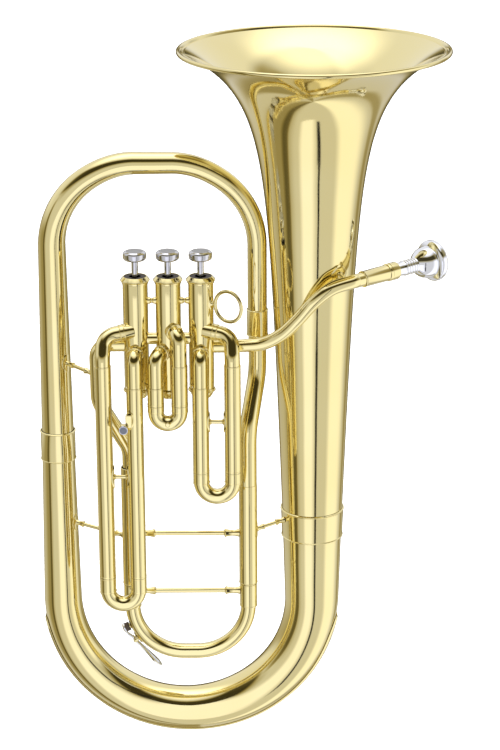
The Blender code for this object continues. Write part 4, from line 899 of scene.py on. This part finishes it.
def make_mouthpiece():
    """Rim, cup, throat and shank as one turning, hollow all the way through."""
    face, rim = RECEIVER_LENGTH + MOUTHPIECE_SHOWING, 19.8 * MM
    tip, length = RECEIVER_LENGTH - 0.0240, RECEIVER_LENGTH
    outside = arc(rim - 3.2 * MM, face - 3.2 * MM, 3.2 * MM, 92, 0, 12)
    outside += arc(rim - 2.6 * MM, face - 5.6 * MM, 2.6 * MM, 0, -62, 9)
    outside += [(rim - 3.0 * MM, face - 8.9 * MM), (rim - 4.6 * MM, face - 9.4 * MM)]
    bowl = [(4.5, 10.4), (4.55, 12.4), (4.95, 15.2), (5.8, 18.0), (7.2, 20.8), (9.2, 23.4),
            (11.2, 25.3), (12.6, 26.4)]
    outside += [(rim - inward * MM, face - deep * MM) for inward, deep in bowl]
    for ring in (28.4, 31.4, 34.4, 37.2, 40.0):
        outside += [(6.9 * MM, face - (ring - 0.9) * MM)]
        outside += arc(6.9 * MM, face - ring * MM, 0.5 * MM, 75, -75, 7)
    outside += [(6.8 * MM, face - 41.4 * MM), (6.5 * MM, face - 44.0 * MM),
                (6.15 * MM, length + 0.3 * MM), (5.5 * MM, tip), (4.6 * MM, tip)]
    inside = [(3.3 * MM, face - 34.0 * MM), (3.6 * MM, face - 28.0 * MM), (5.4 * MM, face - 24.5 * MM),
              (8.2 * MM, face - 21.0 * MM), (9.9 * MM, face - 17.0 * MM),
              (11.3 * MM, face - 12.0 * MM), (12.3 * MM, face - 7.0 * MM), (12.9 * MM, face - 3.4 * MM)]
    inside += arc(rim - 4.0 * MM, face - 3.0 * MM, 2.9 * MM, 175, 100, 8)
    cup = turned("silver_mouthpiece", outside + inside, RECEIVER, WAY, SILVER, 128, True)
    stands_for(cup, "mouthpiece", "silver_plate", "mouthpiece")


make_wind_way()
make_mouthpiece()
rim_centre = RECEIVER + WAY * (RECEIVER_LENGTH + MOUTHPIECE_SHOWING)
print("mouthpiece rim at", [round(c, 4) for c in rim_centre])


# %% [markdown]
# ## Braces
# Braces keep the tubes apart. Each is a turned rod whose ends widen into sockets, and at some of
# the tubes it meets it stands on a leaf: a thin almond-shaped plate that spreads the load.

# %% Leaves and rods
def leaf(name, centre, axis, facing, radius, length, half_angle, thick=0.6 * MM):
    """An almond-shaped plate wrapped on a tube of the given radius."""
    axis, facing = Vector(axis).normalized(), Vector(facing)
    facing = (facing - axis * facing.dot(axis)).normalized()
    side = axis.cross(facing)
    work, rows, grid = bmesh.new(), 24, []
    for i in range(rows + 1):
        along = -1 + 2 * i / rows
        reach = math.radians(half_angle) * max(0.04, math.cos(along * math.pi / 2) ** 0.8)
        row = []
        for k in range(9):
            turn = reach * (k / 4 - 1)
            edge = k in (0, 8) or i in (0, rows)
            r = radius + (0.05 * MM if edge else thick)
            row.append(work.verts.new(Vector(centre) + axis * along * length / 2
                                      + facing * r * math.cos(turn) + side * r * math.sin(turn)))
        grid.append(row)
    for a, b in zip(grid, grid[1:]):
        for k in range(8):
            work.faces.new((a[k], a[k + 1], b[k + 1], b[k]))
    work.faces.ensure_lookup_table()
    middle = work.faces[len(work.faces) // 2]
    middle.normal_update()
    if middle.normal.dot(facing) < 0:
        bmesh.ops.reverse_faces(work, faces=work.faces)
    mesh = bpy.data.meshes.new(name)
    work.to_mesh(mesh)
    work.free()
    mesh.materials.append(BRASS)
    obj = placed(name, mesh)
    solid = obj.modifiers.new("wall", "SOLIDIFY")
    solid.thickness, solid.offset = 0.2 * MM, -1
    return baked(obj, 60)


def rod(name, start, end, socket, big, slim):
    """A slim rod whose trumpet-shaped sockets end in a collar."""
    start, end = Vector(start), Vector(end)
    half = (end - start).length / 2
    neck, bead = half - socket, 0.13 * big
    upper = [(0.0, half), (big * 0.92, half), (big * 0.86, half - 0.10 * socket),
             (big * 0.68, half - 0.30 * socket), (big * 0.70, half - 0.55 * socket),
             (big * 0.82, neck + 3.4 * bead + 0.12 * socket)]
    upper += arc(big - bead, neck + 2.4 * bead, bead, 80, -80, 7)
    upper += [(big * 0.78, neck + bead), (slim * 1.15, neck + 0.2 * MM), (slim, neck)]
    profile = upper + [(r, -z) for r, z in reversed(upper)]
    return turned(name, profile, (start + end) / 2, end - start, steps=40)


# %% The seven braces of the horn
def make_braces():
    upright = (0, 0, 1)
    left, right = Vector((TUNING_L, TUNING_Y, 0)), Vector((TUNING_R, TUNING_Y, 0))

    def at(base, z):
        return Vector((base.x, base.y, z))

    def across(label, node, body, z, radius, big):
        reach = Vector((radius - 0.3 * MM, 0, 0))
        bar = rod(label, at(left, z) + reach, at(right, z) - reach, 15 * MM, big, 2.3 * MM)
        stands_for(bar, body, "lacquered_brass", node)

    across("sleeve_bar", "sleeve_brace", HORN, 0.2236, 8.8 * MM, 4.3 * MM)
    across("tuning_bar", "tuning_slide_brace", "tuning_slide", 0.1630, 8.4 * MM, 4.2 * MM)

    def between(label, node, start, end, start_r, end_r, size, leaves):
        start, end = Vector(start), Vector(end)
        way = (end - start).normalized()
        flat = Vector((way.x, way.y, 0)).normalized()
        a, b = start + flat * (start_r - 0.3 * MM), end - flat * (end_r - 0.3 * MM)
        a.z = start.z + (end.z - start.z) * start_r / (end - start).length
        b.z = end.z - (end.z - start.z) * end_r / (end - start).length
        pieces = [rod(label, a, b, min(9 * MM, (b - a).length * 0.38), size, 1.8 * MM)]
        for centre, z, facing, radius, wide in ((start, a.z, flat, start_r, leaves[0]),
                                                (end, b.z, -flat, end_r, leaves[1])):
            if wide:
                pieces.append(leaf(f"{label}_leaf", (centre.x, centre.y, z), upright, facing,
                                   radius, 20 * MM, wide))
        stands_for(joined(label, pieces), HORN, "lacquered_brass", node)

    between("lower_bar", "lower_branch_brace", (-BELL_X, 0, 0.2286), (TUNING_L, TUNING_Y, 0.2196),
            17.0 * MM, 8.8 * MM, 3.2 * MM, (22, 0))
    between("bell_bar", "bell_brace", (TUNING_R, TUNING_Y, 0.2246), (BELL_X, 0, 0.2356),
            8.8 * MM, 31.0 * MM, 3.2 * MM, (34, 0))
    between("upper_bar", "upper_branch_brace", (-BELL_X, 0, 0.3935), (-0.0813, -0.0315, 0.3865),
            14.6 * MM, 7.1 * MM, 3.1 * MM, (24, 0))
    for label, z, tall in (("third", 0.2940, 24 * MM), ("first", 0.3489, 21 * MM)):
        slide = VALVE_SLIDES[label]
        a, b = (Vector((slide[side][0], SLIDE_Y, z)) for side in ("left", "right"))
        reach = Vector((7.6 * MM, 0, 0))
        pieces = [rod(f"{label}_bar", a + reach, b - reach, 2.6 * MM, 2.9 * MM, 1.9 * MM)]
        for centre, facing in ((a, (1, 0, 0)), (b, (-1, 0, 0))):
            pieces.append(leaf(f"{label}_leaf", centre, upright, facing, 7.8 * MM, tall, 42,
                               0.9 * MM))
        stands_for(joined(f"{label}_bar", pieces), HORN, "lacquered_brass", f"{label}_slide_brace")


def make_leadpipe_brace():
    start = Vector((0.1555, -0.0445, 0.4800))
    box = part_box("leadpipe_brace")
    radius = bell_radius(0.486)
    out = Vector((start.x - BELL_X, start.y, 0)).normalized()
    foot = Vector((BELL_X, 0, 0.4855)) + out * (radius - 0.2 * MM)
    pieces = [rod("leadpipe_bar", start, foot, 3.0 * MM, 3.0 * MM, 2.0 * MM),
              leaf("leadpipe_leaf", (BELL_X, 0, 0.4855), (0, 0, 1), out, radius, 20 * MM, 13,
                   0.7 * MM)]
    print("leadpipe brace box", [[round(c, 4) for c in corner] for corner in box])
    stands_for(joined("leadpipe_bar", pieces), HORN, "lacquered_brass", "leadpipe_brace")


make_braces()
make_leadpipe_brace()
print("braces in place")

# %% [markdown]
# ## Small fittings
# A finger ring on the first casing steadies the hand. The lyre holder takes the stem of a
# music holder, and the water key lets moisture out of the tuning slide.


# %% Finger ring and lyre holder
def make_finger_ring():
    turn, wire = math.radians(-33), 1.7 * MM
    outward = Vector((math.cos(turn), math.sin(turn), 0))
    seat = Vector((VALVE_X[1], VALVE_Y, RING_Z))
    centre = seat + outward * (CASING_R + 18.7 * MM)
    count = 96
    circle = [centre + 14.5 * MM * (outward * math.cos(a) + Vector((0, 0, 1)) * math.sin(a))
              for a in (2 * math.pi * i / count for i in range(count))]
    ring = swept("thumb_ring", circle, [(0, wire), (END, wire)], 0.0, 24, cyclic=True)
    plate = leaf("ring_leaf", seat, (0, 0, 1), outward, CASING_R, 15 * MM, 17, 0.8 * MM)
    post = turned("ring_post", [(0.0, 4.4 * MM), (1.6 * MM, 4.2 * MM), (1.7 * MM, 3.0 * MM),
                                (1.9 * MM, 1.6 * MM), (3.0 * MM, 0.2 * MM), (0.0, 0.0)],
                  seat + outward * CASING_R, outward, steps=32)
    stands_for(joined("thumb_ring", [ring, plate, post]), HORN, "lacquered_brass", "finger_ring")


def block(name, centre, size, bevel, metal=BRASS):
    """A rectangular block with rounded edges."""
    work = bmesh.new()
    bmesh.ops.create_cube(work, size=1.0)
    bmesh.ops.scale(work, vec=size, verts=work.verts)
    bmesh.ops.bevel(work, geom=list(work.edges), offset=bevel, segments=3, affect="EDGES",
                    profile=0.5)
    bmesh.ops.translate(work, vec=centre, verts=work.verts)
    mesh = bpy.data.meshes.new(name)
    work.to_mesh(mesh)
    work.free()
    mesh.materials.append(metal)
    obj = placed(name, mesh)
    return obj


def cut(obj, cutter):
    """Takes one closed shape out of another and returns a plain mesh."""
    boolean = obj.modifiers.new("cut", "BOOLEAN")
    boolean.object, boolean.operation, boolean.solver = cutter, "DIFFERENCE", "EXACT"
    bpy.context.view_layer.update()
    result = baked(obj)
    bpy.data.objects.remove(cutter, do_unlink=True)
    return result


def make_lyre_holder():
    x, y, middle = VALVE_SLIDES["third"]["right"][0] - 5.6 * MM, SLIDE_Y - 8.0 * MM, 0.3530
    box = block("lyre_box", (x, y, middle), (6 * MM, 6 * MM, 12 * MM), 0.5 * MM)
    socket = block("lyre_hole", (x, y, middle + 4 * MM), (3.4 * MM, 3.4 * MM, 12 * MM), 0.1 * MM)
    box = cut(box, socket)
    lug_x, lug_z = x - 4.8 * MM, middle - 6.8 * MM
    lug = block("lyre_lug", (lug_x, y, lug_z), (6.6 * MM, 5.6 * MM, 6.6 * MM), 0.9 * MM)
    foot = leaf("lyre_leaf", (VALVE_SLIDES["third"]["right"][0], SLIDE_Y, middle), (0, 0, 1),
                (-0.6, -0.8, 0), 7.8 * MM, 20 * MM, 34, 0.9 * MM)
    holder = joined("lyre_box", [box, lug, foot])
    stands_for(holder, HORN, "lacquered_brass", "lyre_holder")
    head = 4.3 * MM
    profile = [(0.0, 5.2 * MM)] + arc(head - 0.5 * MM, 4.7 * MM, 0.5 * MM, 90, 0, 5)
    profile += arc(head - 0.5 * MM, 2.7 * MM, 0.5 * MM, 0, -90, 5)
    profile += [(2.0 * MM, 2.2 * MM), (1.9 * MM, 0.3 * MM), (1.1 * MM, 0.3 * MM),
                (1.1 * MM, -2.3 * MM), (0.0, -2.3 * MM)]
    screw = turned("lyre_thumbscrew", profile, (lug_x, y - 3 * MM, lug_z), (0, -1, 0), NICKEL, 48)
    face = [(0.0, 5.25 * MM), (3.5 * MM, 5.25 * MM), (3.6 * MM, 5.1 * MM), (0.0, 5.0 * MM)]
    disc = turned("lyre_screw_face", face, (lug_x, y - 3 * MM, lug_z), (0, -1, 0), DULL, 48)
    screw = joined("lyre_thumbscrew", [screw, disc])
    stands_for(screw, "lyre_screw", "nickel_plate", "lyre_screw")


make_finger_ring()
make_lyre_holder()


# %% Water key
def bow_frame(angle):
    """Surface point, outward and tube direction on the tuning bow, degrees from its lowest."""
    turn = math.radians(angle)
    outward = Vector((-math.sin(turn), 0, -math.cos(turn)))
    along = Vector((math.cos(turn), 0, -math.sin(turn)))
    return Vector((TUNING_L + 0.05, TUNING_Y, 0.1482)) + outward * 0.0573, outward, along


def make_water_key():
    pivot_angle, pad_angle, pivot = 52.4, 67.0, 3.8 * MM
    surface, outward, along = bow_frame(pivot_angle)
    spot, lift = bow_frame(pad_angle)[:2]
    spout = [(2.2 * MM, 1.1 * MM), (2.6 * MM, 0.8 * MM), (2.6 * MM, 0.1 * MM),
             (3.6 * MM, -0.6 * MM), (2.0 * MM, -0.8 * MM), (1.5 * MM, 1.1 * MM)]
    nipple = turned("drain_nipple", spout, spot, lift, steps=32, closed=True)
    posts = []
    for side in (-1, 1):
        profile = [(0.0, 5.2 * MM), (1.6 * MM, 4.9 * MM), (2.1 * MM, 3.8 * MM), (2.0 * MM, 2.4 * MM),
                   (1.7 * MM, 0.6 * MM), (2.2 * MM, -0.8 * MM), (0.0, -0.8 * MM)]
        posts.append(turned(f"key_post_{side}", profile,
                            surface + Vector((0, side * 3.5 * MM, 0)), outward, steps=28))
    saddle = leaf("key_saddle_plate", surface - outward * 7.3 * MM, along, outward, 7.3 * MM,
                  13 * MM, 42, 0.9 * MM)
    pin = swept("key_pin", [surface + outward * pivot + Vector((0, s * 4.4 * MM, 0))
                            for s in (-1, 1)], [(0, 0.7 * MM), (END, 0.7 * MM)], 0.0, 16, NICKEL)
    saddle = joined("key_saddle", [saddle, *posts, pin, nipple])
    stands_for(saddle, "tuning_slide", "lacquered_brass", "water_key_saddle")

    cork = turned("key_cork", [(0.0, 5.0 * MM), (4.4 * MM, 5.0 * MM)]
                  + arc(4.2 * MM, 1.55 * MM, 0.2 * MM, 0, -90, 3) + [(0.0, 1.35 * MM)],
                  spot, lift, CORK, 40)
    stands_for(cork, "water_key", "cork", "water_key_pad")

    cup = turned("key_cup", [(0.0, 8.0 * MM), (3.2 * MM, 7.8 * MM), (4.3 * MM, 7.1 * MM),
                             (4.8 * MM, 6.2 * MM), (4.8 * MM, 5.5 * MM), (4.6 * MM, 5.1 * MM),
                             (0.0, 5.1 * MM)], spot, lift, SILVER, 48)
    knots = [spot + lift * 7.6 * MM]
    for step, rise in ((-9, 1.6), (-3.5, 0.2), (3.5, 0), (9, -0.7), (24, -1.6), (30, -2.2),
                       (37.5, -3.4)):
        knots.append(surface + along * step * MM + outward * (pivot + rise * MM))
    stations = [(0, 1.1 * MM), (6 * MM, 1.2 * MM), (13 * MM, 1.5 * MM), (20 * MM, 1.4 * MM),
                (34 * MM, 1.5 * MM), (44 * MM, 1.7 * MM), (50 * MM, 1.4 * MM), (END, 0.6 * MM)]
    arm = swept("key_arm", smooth_route(knots, 6), stations, 0.0, 28, SILVER)
    for vertex in arm.data.vertices:
        reach = max(0.0, (vertex.co - surface).dot(along))
        vertex.co.y = TUNING_Y + (vertex.co.y - TUNING_Y) * (1.6 + min(2.4, reach / (12 * MM)))
    barrel = swept("key_barrel", [surface + outward * pivot + Vector((0, s * 2.2 * MM, 0))
                                  for s in (-1, 1)], [(0, 1.8 * MM), (END, 1.8 * MM)], 0.0, 28,
                   SILVER)
    stands_for(joined("key_lever", [cup, arm, barrel]), "water_key", "silver_plate",
               "water_key_lever")


make_water_key()
print("water key in place")

# %% [markdown]
# ## Studio
# Polished metal shows the room and little else, so the room is what gets designed. A bright
# tall panel stands in front a little to the left and fades at its long edges. A thin black flag
# and a soft wider one make the crisp dark line on the bell. The rest of the room is a formula
# on direction: a dark band above the viewer, a glow overhead, a second panel on the right.

# %% Floor and backdrop
def panel(name, centre, width, height, strength, softness):
    """A card facing the horn that only reflections see; it fades out at its two long edges."""
    mesh = bpy.data.meshes.new(name)
    w, h = width / 2, height / 2
    mesh.from_pydata([(-w, -h, 0), (w, -h, 0), (w, h, 0), (-w, h, 0)], [], [(0, 1, 2, 3)])
    material = bpy.data.materials.new(name)
    material.use_nodes = True
    net = Net(material.node_tree)
    net.tree.nodes.clear()
    place = net.add("ShaderNodeTexCoord", {})[3]
    across = net.add("ShaderNodeSeparateXYZ", {}, place)[0].call("ABSOLUTE")
    glow = net.add("ShaderNodeEmission", {}, (1.0, 1.01, 1.14, 1), strength)[0]
    clear = net.add("ShaderNodeBsdfTransparent", {})[0]
    soft = net.add("ShaderNodeMixShader", {}, across.ramp(w - softness, w), glow, clear)[0]
    out = net.tree.nodes.new("ShaderNodeOutputMaterial")
    net.tree.links.new(soft.socket, out.inputs["Surface"])
    material.cycles.emission_sampling = "NONE"
    mesh.materials.append(material)
    obj = placed(name, mesh)
    obj.matrix_world = Matrix.Translation(centre) @ aim((0, 1, 0))
    for ray in ("camera", "diffuse", "shadow", "transmission", "volume_scatter"):
        setattr(obj, f"visible_{ray}", False)


def make_floor():
    """White paper far below, so that no shadow of the horn reads on it."""
    mesh = bpy.data.meshes.new("studio_floor")
    half = 18.0
    mesh.from_pydata([(-half, -half, 0), (half, -half, 0), (half, half, 0), (-half, half, 0)], [],
                     [(0, 1, 2, 3)])
    material, net, shader = new_material("studio_paper")
    feed(net, shader, Base_Color=(0.93, 0.93, 0.93, 1), Roughness=0.9)
    mesh.materials.append(material)
    floor = placed("studio_floor", mesh)
    floor.location.z = -0.6
    floor.visible_glossy = False


make_floor()
panel("front_panel", (-0.07, -0.66, -0.165), 0.58, 1.17, 1.15, 0.19)
panel("black_flag", (0.229, -0.60, 0.15), 0.056, 0.92, 0.02, 0.010)
panel("wide_flag", (0.222, -0.59, -0.155), 0.12, 0.67, 0.02, 0.05)
print("floor and cards")


# %% Room tone: what the metal sees beyond the cards
def make_room():
    """Brightness by direction; azimuth 0 is the viewer's side, positive to the viewer's right."""
    world = bpy.data.worlds.new("studio")
    bpy.context.scene.world = world
    world.use_nodes = True
    net = Net(world.node_tree)
    net.tree.nodes.clear()
    way = net.add("ShaderNodeTexCoord", {})[0]
    x, y, z = net.add("ShaderNodeSeparateXYZ", {}, way)
    azimuth = x.call("ARCTAN2", 0 - y) * (180 / math.pi)
    rise = z.call("ARCSINE") * (180 / math.pi)
    away = azimuth.call("ABSOLUTE")
    left = azimuth * -1.0
    front = (1 - azimuth.ramp(96.0, 124.0)) * (1 - left.ramp(40.0, 72.0))
    low = 1 - rise.ramp(8.0, 26.0)
    right_panel = azimuth.ramp(44.0, 62.0) * (1 - azimuth.ramp(84.0, 124.0)) * low
    level = 0.34 + front * low * 0.36 + right_panel * 0.46
    # Dim straight behind the horn, which draws the edges of its tubes.
    behind = away.ramp(140.0, 164.0) * (1 - rise.ramp(-4.0, 8.0)) * rise.ramp(-30.0, -18.0)
    rear = away.ramp(162.0, 174.0) * (1 - rise.ramp(6.0, 18.0)) * rise.ramp(-40.0, -26.0)
    behind = 1 - (1 - behind) * (1 - rear)
    # Light from the sides and the rear, strongest from below, for the underside of the flare.
    flank = away.ramp(84.0, 120.0) * (1 - rise.ramp(-34.0, -8.0) * 0.6) * (1 - behind)
    flank = flank * (1 - left.ramp(136.0, 146.0) * (1 - rise.ramp(-46.0, -30.0)))
    level = level - behind * 0.24 + flank * 0.30
    # Walls above the horizon, then the glow overhead for the mouth of the bell.
    level = level + (1 - front) * rise.ramp(-6.0, 14.0) * (1 - behind) * 0.42
    level = level + rise.ramp(44.0, 78.0) * 1.15
    # Two upright grey strips and the dark band above the viewer.
    strips = left.ramp(56.0, 62.0) * (1 - left.ramp(68.0, 78.0))
    strips = strips + azimuth.ramp(122.0, 130.0) * (1 - azimuth.ramp(136.0, 146.0)) * 0.6
    dark = (1 - away.ramp(60.0, 88.0)) * rise.ramp(20.0, 28.0) * (1 - rise.ramp(46.0, 56.0))
    level = level * (1 - dark * 0.86) * (1 - strips * low * 0.66)
    # Dim parts are amber, like brass that shows other brass.
    warm = net.mix(level.ramp(0.20, 0.75), (1.0, 0.84, 0.38, 1), (1.0, 1.0, 1.04, 1))
    is_camera = net.add("ShaderNodeLightPath", {})[0]
    colour = net.mix(is_camera, warm, (1, 1, 1, 1))
    strength = level * (1 - is_camera) + is_camera * 1.02
    glow = net.add("ShaderNodeBackground", {}, colour, strength)[0]
    out = net.tree.nodes.new("ShaderNodeOutputWorld")
    net.tree.links.new(glow.socket, out.inputs["Surface"])
    world.cycles.sampling_method = "NONE"


def soft_lamp():
    """One broad overhead lamp for the floor and matt parts; the metal shows the cards instead."""
    light = bpy.data.lights.new("overhead", "SUN")
    light.energy, light.angle = 3.3, math.radians(110)
    lamp = placed("overhead", light)
    lamp.rotation_euler = (math.radians(-14), math.radians(-6), 0)
    lamp.visible_camera = lamp.visible_glossy = False


make_room()
soft_lamp()
bpy.context.scene.view_settings.view_transform = "Standard"
print("studio lit")

# %% [markdown]
# ## Camera
# A long lens looks slightly down on the horn from the front, so the bell shows its mouth.

# %% Camera
camera_data = bpy.data.cameras.new("studio_camera")
camera_data.lens = 110.4
camera_data.sensor_width = 36.0
camera = placed("studio_camera", camera_data)
pitch, roll = math.radians(18.6), math.radians(-0.28)
forward = Vector((0, math.cos(pitch), -math.sin(pitch)))
level_right = Vector((1, 0, 0))
level_up = level_right.cross(forward)
right = math.cos(roll) * level_right + math.sin(roll) * level_up
up = -math.sin(roll) * level_right + math.cos(roll) * level_up
camera.matrix_world = (Matrix.Translation((0.06305, -2.0945, 1.0805))
                       @ Matrix((right, up, -forward)).transposed().to_4x4())
camera_data.clip_end = 50.0
bpy.context.scene.camera = camera
print("camera at", [round(c, 4) for c in camera.matrix_world.translation])
